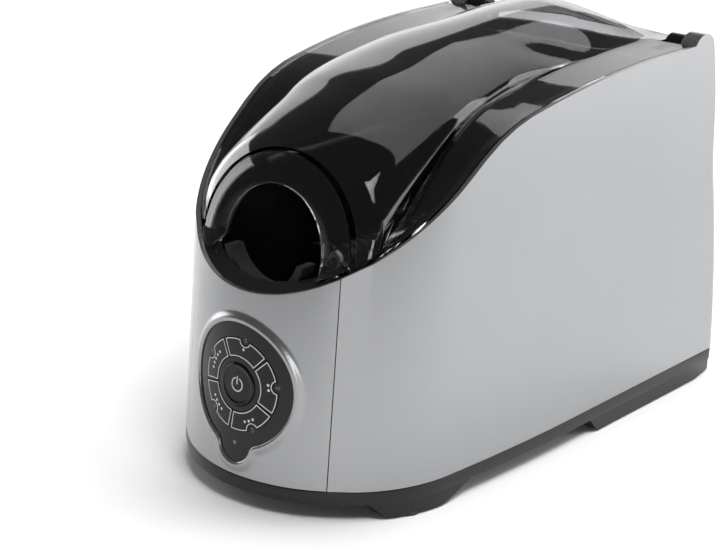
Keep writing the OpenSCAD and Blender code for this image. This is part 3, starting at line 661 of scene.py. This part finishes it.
def moulded_plastic(name, tint, rough, grain, depth, coat=0.0):
    """Moulded plastic: spark-eroded grain, faint flow lines and slightly polished patches."""
    paint = Paint(name, coat_roughness=0.15, specular_ior_level=0.32)
    fine = paint.noise(grain, 3.0)
    flow = paint.noise(22, 3.0, (1, 0.35, 1))
    tone = (fine - 0.5) * 0.35 + (flow - 0.5) * 0.6 + 0.5
    return paint.feed(
        base_color=paint.blend(tone.soft_step(0.15, 0.85), shade(tint, 0.8), shade(tint, 1.25)),
        roughness=(flow - 0.5) * 0.12 + (fine - 0.5) * 0.08 + rough,
        coat_weight=(flow - 0.5) * 0.1 + coat,
        normal=paint.bump(fine, 0.25, depth),
    )


def rubber_finish(name, tint, grain):
    """Matte rubber: dusty bloom in patches over a fine grain."""
    paint = Paint(name, specular_ior_level=0.35)
    fine = paint.noise(grain, 4.0)
    bloom = paint.noise(35, 3.0)
    return paint.feed(
        base_color=paint.blend(bloom.soft_step(0.35, 0.75), shade(tint, 0.85), shade(tint, 1.7)),
        roughness=(bloom - 0.5) * 0.2 + 0.72,
        normal=paint.bump(fine, 0.35, 0.05 * MM),
    )


def turned_steel(name, tint, share, stretch, rough, scratches):
    """Bright metal with tool marks along one axis, its colour scaled by a share."""
    tint = shade(tint, share)
    paint = Paint(name, metallic=1.0)
    marks = paint.noise(scratches, 4.0, stretch)
    stain = paint.noise(40, 3.0)
    return paint.feed(
        base_color=paint.blend(stain.soft_step(0.3, 0.8), shade(tint, 1.06), shade(tint, 0.8)),
        roughness=(marks - 0.5) * 0.22 + (stain - 0.5) * 0.12 + rough,
        normal=paint.bump(marks, 0.12, 0.02 * MM),
    )


def smoked_clear(name, tint):
    """Smoked clear plastic: tinted through, polished, with faint moulding ripple and haze."""
    paint = Paint(name, transmission_weight=1.0, ior=1.49)
    ripple = paint.noise(14, 1.0)
    haze = paint.noise(60, 3.0)
    return paint.feed(
        base_color=paint.blend(ripple.soft_step(0.3, 0.7), shade(tint, 0.92), shade(tint, 1.08)),
        roughness=haze.soft_step(0.4, 0.9) * 0.02 + 0.012,
        normal=paint.bump(ripple, 0.02, 0.5 * MM),
    )


def panel_plane(paint, form):
    """Across and up the control panel, from its centre."""
    x, y, z = paint.split()
    tilt, panel = form.body.lean, form.panel
    up = (z - form.body.seam) * math.cos(tilt) + (y - form.front) * math.sin(tilt)
    return x, up - panel.height


def ring_print(form, colours):
    """Gloss black with the keys' printed outlines and rows of level dots."""
    paint = Paint("key_print", specular_ior_level=0.3)
    u, v = panel_plane(paint, form)
    radius = (u * u + v * v) ** 0.5
    turn = paint.node("ShaderNodeMath", {"operation": "ARCTAN2"}, {0: v, 1: u})
    pitch, first, half = math.radians(72), math.radians(81), math.radians(36)
    clock = (first + half + math.tau - turn) / pitch
    index = paint.node("ShaderNodeMath", {"operation": "FLOOR"}, {0: clock})
    off = (clock - index - 0.5) * pitch
    spread, notch = math.radians(34.4), 3.0 * MM
    outer, inner = form.panel.ring_outer, form.panel.ring_inner
    side = radius * (spread - abs(off)).called("SINE")
    to_light = (radius * radius + outer**2 - radius * 2 * outer * off.called("COSINE")) ** 0.5
    depth = side.lowest(to_light - notch).lowest(outer - radius).lowest(radius - inner)
    line = depth.soft_step(0.22 * MM, 0.34 * MM) * (1 - depth.soft_step(0.72 * MM, 0.86 * MM))
    middle, dot, gap = (outer + inner) / 2, 0.75 * MM, math.radians(8)
    count = index - 5 * ((index / 5).called("FLOOR")) + 1
    row = off / gap + (count - 1) * 0.5
    nearest = (row + 0.5).called("FLOOR").highest(0).lowest(count - 1)
    aside = (row - nearest) * gap * radius
    reach = (aside * aside + (radius - middle) * (radius - middle)) ** 0.5
    dots = 1 - reach.soft_step(dot - 0.08 * MM, dot + 0.08 * MM)
    smudge = paint.noise(70, 4.0)
    ink = line.highest(dots)
    return paint.feed(
        base_color=paint.blend(ink, colours.gloss_black, colours.print_ink),
        roughness=smudge.soft_step(0.35, 0.8) * 0.10 + 0.17 + ink * 0.2,
    )


def start_print(form, colours):
    """Gloss black with a power sign."""
    paint = Paint("start_print", specular_ior_level=0.3)
    u, v = panel_plane(paint, form)
    radius = (u * u + v * v) ** 0.5
    ring_at, half_line, soft = 3.6 * MM, 0.32 * MM, 0.08 * MM
    ring = 1 - abs(radius - ring_at).soft_step(half_line, half_line + soft)
    above = v.soft_step(0, 0.1 * MM)
    gap = 1 - (1 - abs(u).soft_step(1.2 * MM, 1.3 * MM)) * above
    bar = (1 - abs(u).soft_step(half_line, half_line + soft)) * above * (1 - v.soft_step(4.6 * MM, 4.7 * MM))
    ink = (ring * gap).highest(bar)
    smudge = paint.noise(70, 4.0)
    return paint.feed(
        base_color=paint.blend(ink, colours.gloss_black, colours.print_ink),
        roughness=smudge.soft_step(0.35, 0.8) * 0.10 + 0.2 + ink * 0.2,
    )


def lamp_lens(form):
    """Frosted lamp lenses that are off, each with a paler edge."""
    paint = Paint("lamp_lens", specular_ior_level=0.5)
    u, v = panel_plane(paint, form)
    radius = (u * u + v * v) ** 0.5
    grain = paint.noise(2600, 2.0)
    away = abs(radius - form.panel.ring_outer).soft_step(0.55 * MM, 0.95 * MM)
    return paint.feed(
        base_color=paint.blend(away, (0.035, 0.037, 0.042), (0.16, 0.16, 0.17)),
        roughness=(grain - 0.5) * 0.2 + 0.42,
        normal=paint.bump(grain, 0.2, 0.03 * MM),
    )


def circuit_board(name, tint):
    """Solder mask over copper tracks."""
    paint = Paint(name, specular_ior_level=0.5)
    tracks = paint.node(
        "ShaderNodeTexBrick", {"offset": 0.5},
        {"Vector": paint.axes(), "Color1": (0, 0, 0, 1), "Color2": (0, 0, 0, 1),
         "Mortar": (1, 1, 1, 1), "Scale": 150.0, "Mortar Size": 0.03, "Brick Width": 0.9},
    )
    dust = paint.noise(120, 3.0)
    return paint.feed(
        base_color=paint.blend(tracks * 0.6 + dust * 0.2, tint, shade(tint, 2.4)),
        roughness=(dust - 0.5) * 0.1 + 0.3,
        normal=paint.bump(tracks, 0.4, 0.03 * MM),
    )


def coil_winding(name, tint):
    """Varnished copper turns between iron plates."""
    paint = Paint(name, coat_roughness=0.2)
    turns = paint.node(
        "ShaderNodeTexWave", {"bands_direction": "Z"},
        {"Vector": paint.axes(), "Scale": 420.0, "Distortion": 0.6},
    )
    varnish = paint.noise(50, 3.0)
    return paint.feed(
        base_color=paint.blend(turns * 0.7 + varnish * 0.3, shade(tint, 0.35), tint),
        metallic=turns * 0.5 + 0.3,
        roughness=varnish * 0.2 + 0.25,
        coat_weight=varnish * 0.5,
        normal=paint.bump(turns, 0.5, 0.1 * MM),
    )


def floor_finish(name, tint):
    """Pale seamless paper."""
    paint = Paint(name, specular_ior_level=0.2)
    tooth = paint.noise(900, 3.0)
    cloud = paint.noise(3, 2.0)
    return paint.feed(
        base_color=paint.blend(cloud, shade(tint, 0.99), shade(tint, 1.01)),
        roughness=(tooth - 0.5) * 0.1 + 0.75,
        normal=paint.bump(tooth, 0.05, 0.05 * MM),
    )


# a finish's maker, the property that holds its colour, and the maker's other facts
FINISHES = {
    "graphite_plastic": (moulded_plastic, "graphite", 0.36, 1500, 0.05 * MM),
    "basin_plastic": (moulded_plastic, "basin_black", 0.24, 1800, 0.03 * MM, 0.15),
    "gloss_plastic": (moulded_plastic, "gloss_black", 0.15, 2500, 0.004 * MM),
    "nylon_plastic": (moulded_plastic, "nylon", 0.5, 1600, 0.04 * MM),
    "shaft_steel": (turned_steel, "steel", 1.0, (1, 0.05, 1), 0.26, 900),
    "zinc_plate": (turned_steel, "steel", 0.85, (0.06, 1, 1), 0.36, 500),
    "rubber": (rubber_finish, "rubber", 1400),
    "soft_grip": (rubber_finish, "rubber", 900),
    "silver_paint": (silver_paint, "silver"),
    "smoked_clear": (smoked_clear, "smoke"),
    "circuit_board": (circuit_board, "board"),
    "coil_winding": (coil_winding, "copper"),
    "paper_floor": (floor_finish, "floor"),
}


def finish(scene, name):
    """A finish from the table, made once."""
    make, colour_name, *facts = FINISHES[name]
    made = bpy.data.materials.get(name)
    return made or make(name, getattr(scene.chiller_finish, colour_name), *facts)


class ChillerStep(bpy.types.Operator):
    """One step of making the chiller."""

    bl_options = {"REGISTER", "UNDO"}

    def execute(self, context):
        """Makes this step's pieces."""
        self.make(context.scene, Form(context.scene))
        return {"FINISHED"}


class CHILLER_OT_housing(ChillerStep):
    """Make the housing: side walls and rear wall in one moulding, and its hinge ears"""

    bl_idname = "chiller.housing"
    bl_label = "Housing"

    VENTS = [(20 + 7 * i) * MM for i in range(7)]
    VENT_WIDTH = 3 * MM
    VENT_HEIGHTS = (29 * MM, 63 * MM)
    SEAM_GAP = 0.2 * MM
    SIDE_SPARE = 0.05 * MM
    CORNER_FROM, CORNER_OVER = 0.13, 0.06
    TIGHT_CORNER = 1.2 * MM
    GLAND = Vector((-48 * MM, 35 * MM))
    GLAND_RADIUS = 9 * MM
    GLAND_SIDES = 20
    GLAND_REACH = 24 * MM
    REAR_TOP_DROP = 3 * MM
    # shares of the side wall that get a column of their own, closer together where the ear rises
    EXTRA_COLUMNS = [0.74, 0.78, 0.82, 0.84, 0.86, 0.88, 0.92, 0.94, 0.96, 0.98, 0.99]
    EAR_LOW = 10 * MM
    EAR_SKIRT = 14 * MM
    EAR_SHOULDER = 5.5 * MM
    EAR_TURNS = (math.radians(-28), math.radians(208))

    def corner(self, form, z):
        """Rounding of the rear corner, tighter towards the ears."""
        rise = ease((z - self.CORNER_FROM) / self.CORNER_OVER)
        return mix(form.body.rear_corner, self.TIGHT_CORNER, rise)

    def columns(self, form):
        """The wall's upright columns from the panel's seam to the rear's middle: (point at z, top)."""
        made = []
        plan = form.half_plan
        seam = next(i for i, (p, _) in enumerate(plan) if p.x >= form.front_half - 1e-6)
        lead = plan[seam][0] + along(form.STRIP_HEADING) * self.SEAM_GAP
        spots = [lead] + [p for p, _ in plan[seam + 1:]]
        for spot in spots:
            made.append((lambda z, p=spot: form.leaned(p.x, p.y, z), form.wall_top))
        last = spots[-1]

        def side(share):
            def at(z):
                first = form.leaned(last.x, last.y, z).y
                rear = form.rear_wall(z) - self.corner(form, z)
                return Vector((form.half, mix(first, rear, share), z))
            return at

        shares = sorted(steps(0, 1, 10)[1:] + self.EXTRA_COLUMNS)
        made += [(side(share), form.wall_top) for share in shares]

        def bend(turn):
            def at(z):
                radius = self.corner(form, z)
                centre = Vector((form.half - radius, form.rear_wall(z) - radius))
                spot = centre + along(turn) * radius
                return Vector((spot.x, spot.y, z))
            return at

        made += [(bend(turn), lambda y: form.hinge_z) for turn in steps(0, RIGHT_ANGLE, 8)[1:]]
        edges = [form.ear_in + 0.2 * MM, form.ear_in - 0.2 * MM]
        for x in self.VENTS[::-1]:
            edges += [x + self.VENT_WIDTH, x]
        edges += [10 * MM, 0.0]
        for x in edges:
            top = form.hinge_z if x > form.ear_in else form.hinge_z - self.REAR_TOP_DROP
            made.append((lambda z, x=x: Vector((x, form.rear_wall(z), z)), lambda y, top=top: top))
        return made

    def make(self, scene, form):
        """Draws the wall up from the seam, opens the vents and adds the ears."""
        seam = form.body.seam
        sill = form.hinge_z - self.REAR_TOP_DROP
        shares = steps(0, 1, 24) + [(z - seam) / (sill - seam) for z in self.VENT_HEIGHTS]
        half = []

        def held(spot):
            return Vector((min(spot.x, form.half - self.SIDE_SPARE), spot.y, spot.z))

        for at, top in self.columns(form):
            end = form.rim_height(at, 0.15, top)
            half.append([held(at(mix(seam, end, share))) for share in sorted(shares)])
        flip = Vector((-1, 1, 1))
        both = half + [[p * flip for p in column] for column in half[-2::-1]]
        bm = loft([list(row) for row in zip(*both)])
        low, high = self.VENT_HEIGHTS

        def in_vent(spot):
            across = any(x < spot.x < x + self.VENT_WIDTH for x in self.VENTS)
            return across and low < spot.z < high and spot.y > form.hinge_y

        slots = [f for f in bm.faces if in_vent(f.calc_center_median())]
        bmesh.ops.delete(bm, geom=slots, context="FACES")
        self.open_gland(bm, form)
        piece("housing", bm, CHASSIS, ["housing_shell"], finish(scene, "silver_paint"),
              form.body.wall, form.body.edge_round, (0, 0, 0.1))
        self.ears(scene, form)

    def open_gland(self, bm, form):
        """Cuts the round hole for the cable gland."""
        centre = Vector((self.GLAND.x, form.rear_wall(self.GLAND.y), self.GLAND.y))

        def near():
            spots = [(f, f.calc_center_median()) for f in bm.faces]
            reach = self.GLAND_REACH
            return [f for f, p in spots if (p - centre).length < reach and p.y > form.hinge_y]

        def within(spot):
            return (Vector((spot.x, spot.z)) - self.GLAND).length < self.GLAND_RADIUS

        for i in range(self.GLAND_SIDES):
            turn = math.tau * i / self.GLAND_SIDES
            out = Vector((math.cos(turn), 0, math.sin(turn)))
            faces = near()
            edges = list({e for f in faces for e in f.edges})
            verts = list({v for f in faces for v in f.verts})
            rim = centre + out * self.GLAND_RADIUS
            bmesh.ops.bisect_plane(bm, geom=faces + edges + verts, plane_co=rim, plane_no=out)
        inside = [f for f in near() if within(f.calc_center_median())]
        bmesh.ops.delete(bm, geom=inside, context="FACES")

    def ears(self, scene, form):
        """The rounded ears that hold the lid's pins."""
        y, z = form.hinge_y, form.hinge_z
        radius, low = form.body.ear_radius - 0.05 * MM, self.EAR_LOW
        skirt, shoulder = z - self.EAR_SKIRT, z - self.EAR_SHOULDER
        profile = [(y + low, skirt), (y + low, shoulder)]
        profile += [(y + radius * math.cos(a), z + radius * math.sin(a)) for a in steps(*self.EAR_TURNS, 40)]
        profile += [(y - low, shoulder), (y - low, skirt)]
        ends = (form.ear_in, form.half - 0.5 * MM)
        both = []
        for side in (-1, 1):
            rows = [[Vector((side * x, along_y, up)) for along_y, up in profile] for x in ends]
            both.append(loft(rows, closed=True, cap_first=True, cap_last=True))
        piece("hinge_ears", joined(both), CHASSIS, ["housing_shell"], finish(scene, "silver_paint"),
              edge=form.body.edge_round)


class CHILLER_OT_front_panel(ChillerStep):
    """Make the curved front panel with its opening for the controls"""

    bl_idname = "chiller.front_panel"
    bl_label = "Front panel"

    SEAM_GAP = 0.2 * MM
    RINGS = 14
    # the top line is looked for between these heights, and the border up to this many times outwards
    HEIGHTS = (60 * MM, 160 * MM)
    REACH = 8.0

    def border(self, form, u):
        """Lowest and highest v of the panel at u."""
        deep = form.on_front(u, 0).y - form.front
        low = deep * math.tan(form.body.lean)
        under, over = self.HEIGHTS
        for _ in range(30):
            middle = (under + over) / 2
            spot = form.on_front(u, middle)
            if spot.z < form.top_at(spot.y):
                under = middle
            else:
                over = middle
        return low, under

    def make(self, scene, form):
        """Draws rings from the opening out to the panel's border."""
        half = form.front_half - self.SEAM_GAP
        inner = form.panel_outline(form.panel.rim_width - 0.6 * MM)
        centre = Vector((0, form.panel.height))
        outer = []
        for spot in inner:
            ray = spot - centre
            near, far = 1.0, self.REACH
            for _ in range(40):
                middle = (near + far) / 2
                u, v = centre + ray * middle
                low, high = self.border(form, min(abs(u), half))
                if abs(u) < half and low < v < high:
                    near = middle
                else:
                    far = middle
            outer.append(centre + ray * near)
        for side in (-1, 1):
            for v in self.border(form, half):
                corner = Vector((side * half, v))
                closest = min(range(len(outer)), key=lambda i: (outer[i] - corner).length)
                outer[closest] = corner
        rows = []
        for share in steps(0, 1, self.RINGS):
            rows.append([form.on_front(*a.lerp(b, share)) for a, b in zip(inner, outer)])
        piece("front_cover", loft(rows, closed=True), CHASSIS, ["front_panel"],
              finish(scene, "silver_paint"), form.body.wall, 0.35 * MM, (0, 0, 0.1), even=False)


class CHILLER_OT_panel_rim(ChillerStep):
    """Make the raised rim round the control panel"""

    bl_idname = "chiller.panel_rim"
    bl_label = "Panel rim"

    # outwards from the panel's edge, and over the front, in millimetres
    PROFILE = [(0.12, -2.5), (0.12, 0.15), (0.3, 0.6), (0.7, 1.0), (1.3, 1.32), (2.0, 1.47),
               (2.6, 1.42), (3.2, 1.2), (3.9, 0.8), (4.6, 0.42), (5.3, 0.16), (6.0, 0.04),
               (6.3, 0.0), (6.3, -0.6), (4.0, -2.5)]

    def make(self, scene, form):
        """Sweeps the rim's profile round the panel's outline."""
        rows = [
            [form.on_front(u, v, over * MM) for u, v in form.panel_outline(out * MM)]
            for out, over in self.PROFILE
        ]
        piece("panel_bezel", loft(rows + rows[:1], closed=True), CHASSIS, ["panel_rim"],
              finish(scene, "silver_paint"))


class CHILLER_OT_controls(ChillerStep):
    """Make the start button and finish the keys, the lights and the boards behind them"""

    bl_idname = "chiller.controls"
    bl_label = "Controls"

    # inwards from the button's radius, and height over the panel, in millimetres
    BUTTON = [(0.1, -6.0), (0.1, 0.1), (0.25, 0.5), (0.6, 0.75), (1.1, 0.8), (1.6, 0.7), (2.0, 0.42),
              (2.5, 0.36), (5.5, 0.42), (8.5, 0.47), (11.1, 0.5)]
    AROUND = 72
    KEYS = ["key_top", "key_right", "key_lower_right", "key_lower_left", "key_left"]

    def make(self, scene, form):
        """Turns the button's profile on the panel's curve."""
        rows = []
        middle = Vector((0, form.panel.height))
        turns = [math.tau * i / self.AROUND for i in range(self.AROUND)]
        for inset, over in self.BUTTON:
            radius = form.panel.button_radius - inset * MM
            spots = [middle + along(a) * radius for a in turns]
            rows.append([form.on_front(u, v, over * MM) for u, v in spots])
        colours = scene.chiller_finish
        piece("start_cap", loft(rows, closed=True, cap_first=True, cap_last=True), "start_button",
              ["start_button"], start_print(form, colours))
        dress(self.KEYS, ring_print(form, colours))
        dress(["control_panel"], finish(scene, "gloss_plastic"))
        dress(["mode_lights", "ice_light"], lamp_lens(form))
        dress(["control_board", "power_board"], finish(scene, "circuit_board"))
        dress(["key_switches"], finish(scene, "zinc_plate"))


class CHILLER_OT_base(ChillerStep):
    """Make the base band with its four legs"""

    bl_idname = "chiller.base"
    bl_label = "Base"

    # inwards from the outline, and height, in millimetres
    BAND = [(3.2, 14.5), (3.2, 16.7), (0.6, 16.7), (0.15, 16.5), (0.0, 16.1), (0.0, 9.9), (0.25, 9.3),
            (0.9, 9.0), (6.0, 9.0)]
    CORNER = 10 * MM
    LEG_WIDTH = 26 * MM
    LEG_BOTTOM = 0.8 * MM
    LEG_TOP = 12.5 * MM
    # start, flat from, flat to, end: from the front and from the rear, in millimetres
    FRONT_LEG = (30, 42, 70, 98)
    REAR_LEG = (138, 126, 2.5, 0.2)
    UNDERSIDE = 10 * MM

    def outline(self, form, inset):
        """The base's closed outline, moved inwards."""
        half = [spot + inwards(heading) * inset for spot, heading in form.half_plan]
        centre = Vector((form.half - self.CORNER, form.rear - self.CORNER))
        half += [centre + along(a) * (self.CORNER - inset) for a in steps(0, RIGHT_ANGLE, 8)]
        return half + [Vector((-p.x, p.y)) for p in half[:0:-1]]

    def edge(self, form, y):
        """Half width of the base at y."""
        table = [(p.y, p.x) for p, _ in form.half_plan]
        centre = form.rear - self.CORNER
        if y > centre:
            return form.half - self.CORNER + math.sqrt(max(self.CORNER**2 - (y - centre) ** 2, 0.0))
        for (y0, x0), (y1, x1) in zip(table, table[1:]):
            if y0 <= y <= y1:
                return mix(x0, x1, (y - y0) / (y1 - y0))
        return form.half

    def leg(self, form, side, start, flat, end, stop):
        """One leg: down a soft ramp, flat, and up again."""
        rows = []
        inner = form.half - self.LEG_WIDTH
        spots = steps(start, flat, 10) + steps(flat, end, 6)[1:] + steps(end, stop, 10)[1:]
        for y in spots:
            down = ease((y - start) / (flat - start)) * ease((stop - y) / (stop - end))
            low = mix(self.UNDERSIDE, self.LEG_BOTTOM, down)
            outer = max(self.edge(form, y) - 0.12 * MM, inner + 0.5 * MM)
            ring = [(inner, self.LEG_TOP), (outer, self.LEG_TOP), (outer, low), (inner, low)]
            rows.append([Vector((side * x, y, z)) for x, z in ring])
        return loft(rows, closed=True, cap_first=True, cap_last=True)

    def make(self, scene, form):
        """Draws the band from its groove down and under, and the legs below it."""
        rows = []
        for inset, z in self.BAND:
            rows.append([Vector((p.x, p.y, z * MM)) for p in self.outline(form, inset * MM)])
        piece("base_band", loft(rows, closed=True, cap_last=True), CHASSIS, ["base_tray"],
              finish(scene, "graphite_plastic"), centre=(0, 0, 0.012))
        legs = []
        for side in (-1, 1):
            legs.append(self.leg(form, side, *(form.front + reach * MM for reach in self.FRONT_LEG)))
            legs.append(self.leg(form, side, *(form.rear - reach * MM for reach in self.REAR_LEG)))
        piece("base_legs", joined(legs), CHASSIS, ["base_tray"],
              finish(scene, "graphite_plastic"), edge=1.2 * MM)
        dress(["foot_pads"], finish(scene, "rubber"))
        dress(["base_screws"], finish(scene, "zinc_plate"))


class CHILLER_OT_lid(ChillerStep):
    """Make the smoked clear dome and the collar round the bottle's neck"""

    bl_idname = "chiller.lid"
    bl_label = "Lid"

    SPARE = 3

    def make(self, scene, form):
        """Draws the dome through its cross sections, and the collar from the neck to the dome."""
        start = form.rim_foot + form.lid.thickness + 0.05 * MM
        spots = steps(start, form.slope_end, 26) + steps(form.slope_end, form.crest, 30)[1:]
        spots += steps(form.crest, form.ear_front, 10)[1:]
        spots += steps(form.ear_front + 0.2 * MM, form.lid_rear, 6)
        rows = [form.lid_section(y) for y in spots]
        piece("lid_shell", loft(rows), "lid", ["lid_dome"], finish(scene, "smoked_clear"),
              form.lid.thickness, 0.5 * MM, (0, 0, 0.1))
        self.collar(scene, form)

    def collar(self, scene, form):
        """The collar: a cone from the dome's rim to the neck opening, with rounded edges."""
        outer = form.lid_section(form.rim_foot, flange_count=self.SPARE)
        inner = form.neck_row(40, self.SPARE)
        rows = []
        for share in steps(0, 1, 10):
            bow = 1.5 * MM * math.sin(math.pi * share)
            row = []
            for a, b in zip(inner, outer):
                spot = a.lerp(b, share)
                edge = form.edge_at(spot.y) - 0.3 * MM
                low = form.top_at(spot.y) + 0.1 * MM
                row.append(Vector((max(-edge, min(edge, spot.x)), spot.y - bow, max(spot.z, low))))
            rows.append(row)
        piece("lid_neck_collar", loft(rows), "lid", ["lid_collar"],
              finish(scene, "smoked_clear"), form.lid.thickness, 0.8 * MM, (0, -0.06, 0.1))
        dress(["lid_seal"], finish(scene, "rubber"))
        dress(["hinge_knuckles"], finish(scene, "gloss_plastic"))
        dress(["hinge_pins"], finish(scene, "shaft_steel"))


class CHILLER_OT_basin(ChillerStep):
    """Finish the basin, its deck, the neck rest and the bottle's rollers"""

    bl_idname = "chiller.basin"
    bl_label = "Basin and rollers"

    WET = ["basin", "rear_deck", "delivery_pipe", "spray_bar_left", "spray_bar_right", "spray_crossover"]
    BRIGHT = ["drive_shaft", "idler_shaft", "motor_shaft", "pump_shaft", "cradle_screws", "ice_sensor"]

    def make(self, scene, form):
        """Dresses the wet side."""
        dress(self.WET, finish(scene, "basin_plastic"))
        dress(["neck_rest"], finish(scene, "soft_grip"))
        dress(["roller_cradle", "filter_screen", "pump_housing"], finish(scene, "graphite_plastic"))
        dress(["drive_sleeves", "idler_sleeves", "drive_seal", "pump_seal"], finish(scene, "rubber"))
        dress(["roller_bushes", "impeller"], finish(scene, "nylon_plastic"))
        dress(self.BRIGHT, finish(scene, "shaft_steel"))


class CHILLER_OT_drives(ChillerStep):
    """Finish the motors, the belt drive, the transformer and the gland"""

    bl_idname = "chiller.drives"
    bl_label = "Drives and power"

    def make(self, scene, form):
        """Dresses the dry side."""
        dress(["spin_motor", "pump_motor", "motor_bracket"], finish(scene, "zinc_plate"))
        dress(["drive_pulley", "motor_pulley", "cable_gland"], finish(scene, "graphite_plastic"))
        dress(["drive_belt"], finish(scene, "rubber"))
        dress(["transformer"], finish(scene, "coil_winding"))


class CHILLER_OT_stage(ChillerStep):
    """Make the floor, the studio lights and the camera"""

    bl_idname = "chiller.stage"
    bl_label = "Studio"

    # name, place, size, power, what it looks at, spread in degrees, whether it shows in reflections
    LAMPS = [
        ("overhead", (0.0, 0.9, 1.8), (2.4, 1.8), 50, (0.1, 0.1, 0), 180, False),
        ("kicker", (0.7, -0.4, 1.4), (0.5, 0.5), 1.6, (0.25, -0.12, 0), 60, False),
        ("back_box", (-1.7, 1.5, 0.7), (2.2, 1.2), 9, (0, 0, 0.15), 180, True),
        ("right_box", (1.3, 1.2, 1.2), (0.5, 1.3), 7, (0, 0, 0.15), 180, True),
        ("side_box", (1.2, 1.0, 0.3), (1.2, 0.6), 7.5, (0, 0, 0.1), 180, True),
        ("left_box", (-1.2, -0.15, 0.3), (0.9, 0.6), 5, (0, 0, 0.1), 180, True),
        ("strip_box", (0.9, -1.12, 0.2), (0.2, 0.6), 2.0, (0, 0, 0.1), 180, True),
    ]
    AZIMUTH, PITCH, ROLL = 41.06, 18.9, 0.99
    LENS, SENSOR = 98.96, 36
    SHIFT = (0.0395, -0.0379)
    VIEWPOINT = (0.65549, -0.84448, 0.46481)
    FLOOR_BACK = 7
    FLOOR_FRONT = 2.5
    WORLD = 0.12

    def make(self, scene, form):
        """Sets the stage."""
        bm = bmesh.new()
        bmesh.ops.create_grid(bm, x_segments=12, y_segments=12, size=self.FLOOR_BACK)
        bmesh.ops.translate(bm, vec=(0, self.FLOOR_BACK - self.FLOOR_FRONT, 0), verts=bm.verts)
        turn = Matrix.Rotation(math.radians(self.AZIMUTH), 3, "Z")
        bmesh.ops.rotate(bm, cent=(0, 0, 0), matrix=turn, verts=bm.verts)
        mesh = bpy.data.meshes.new("floor")
        bm.to_mesh(mesh)
        bm.free()
        mesh.materials.append(finish(scene, "paper_floor"))
        floor = bpy.data.objects.new("floor", mesh)
        scene.collection.objects.link(floor)
        world = bpy.data.worlds.new("studio")
        scene.world = world
        world.use_nodes = True
        backdrop = world.node_tree.nodes["Background"]
        backdrop.inputs["Color"].default_value = (1, 1, 1, 1)
        backdrop.inputs["Strength"].default_value = self.WORLD
        for name, place, size, power, target, spread, shows in self.LAMPS:
            data = bpy.data.lights.new(name, "AREA")
            data.shape = "RECTANGLE"
            data.size, data.size_y = size
            data.energy = power
            data.spread = math.radians(spread)
            lamp = bpy.data.objects.new(name, data)
            lamp.location = place
            lamp.visible_glossy = shows
            lamp.rotation_euler = (Vector(target) - Vector(place)).to_track_quat("-Z", "Y").to_euler()
            scene.collection.objects.link(lamp)
        self.camera(scene)
        scene.view_settings.view_transform = "Standard"

    def camera(self, scene):
        """A camera in front, to the right and a little above."""
        azimuth, pitch, roll = (math.radians(a) for a in (self.AZIMUTH, self.PITCH, self.ROLL))
        back = Vector(
            (math.sin(azimuth) * math.cos(pitch), -math.cos(azimuth) * math.cos(pitch), math.sin(pitch))
        )
        right = Vector((math.cos(azimuth), math.sin(azimuth), 0))
        up = back.cross(right)
        side = right * math.cos(roll) + up * math.sin(roll)
        rise = up * math.cos(roll) - right * math.sin(roll)
        data = bpy.data.cameras.new("camera")
        data.lens, data.sensor_width = self.LENS, self.SENSOR
        data.shift_x, data.shift_y = self.SHIFT
        camera = bpy.data.objects.new("camera", data)
        turn = Matrix((side, rise, back)).transposed().to_4x4()
        camera.matrix_world = Matrix.Translation(self.VIEWPOINT) @ turn
        scene.collection.objects.link(camera)
        scene.camera = camera


class CHILLER_PT_sidebar(bpy.types.Panel):
    """The chiller's sizes and steps."""

    bl_idname = "CHILLER_PT_sidebar"
    bl_label = "Rapid bottle chiller"
    bl_space_type = "VIEW_3D"
    bl_region_type = "UI"
    bl_category = "Chiller"

    def draw(self, context):
        """Lists the sizes and then the steps."""
        scene = context.scene
        for group in (scene.chiller_body, scene.chiller_lid, scene.chiller_panel, scene.chiller_finish):
            box = self.layout.box()
            for name in group.__annotations__:
                box.prop(group, name)
        for step in STEPS:
            self.layout.operator(step.bl_idname)


GROUPS = {
    "chiller_body": ChillerBody,
    "chiller_lid": ChillerLid,
    "chiller_panel": ChillerPanel,
    "chiller_finish": ChillerFinish,
}
STEPS = [
    CHILLER_OT_housing,
    CHILLER_OT_front_panel,
    CHILLER_OT_panel_rim,
    CHILLER_OT_controls,
    CHILLER_OT_base,
    CHILLER_OT_lid,
    CHILLER_OT_basin,
    CHILLER_OT_drives,
    CHILLER_OT_stage,
]


def register():
    """Adds the sizes, the steps and the panel."""
    for name, group in GROUPS.items():
        bpy.utils.register_class(group)
        setattr(bpy.types.Scene, name, bpy.props.PointerProperty(type=group))
    for kind in [*STEPS, CHILLER_PT_sidebar]:
        bpy.utils.register_class(kind)


def unregister():
    """Takes them away again."""
    for kind in [CHILLER_PT_sidebar, *reversed(STEPS)]:
        bpy.utils.unregister_class(kind)
    for name, group in GROUPS.items():
        delattr(bpy.types.Scene, name)
        bpy.utils.unregister_class(group)


def main():
    """Makes the whole chiller."""
    register()
    for kind in STEPS:
        group, name = kind.bl_idname.split(".")
        getattr(getattr(bpy.ops, group), name)()
    bpy.context.view_layer.update()


if __name__ == "__main__":
    main()
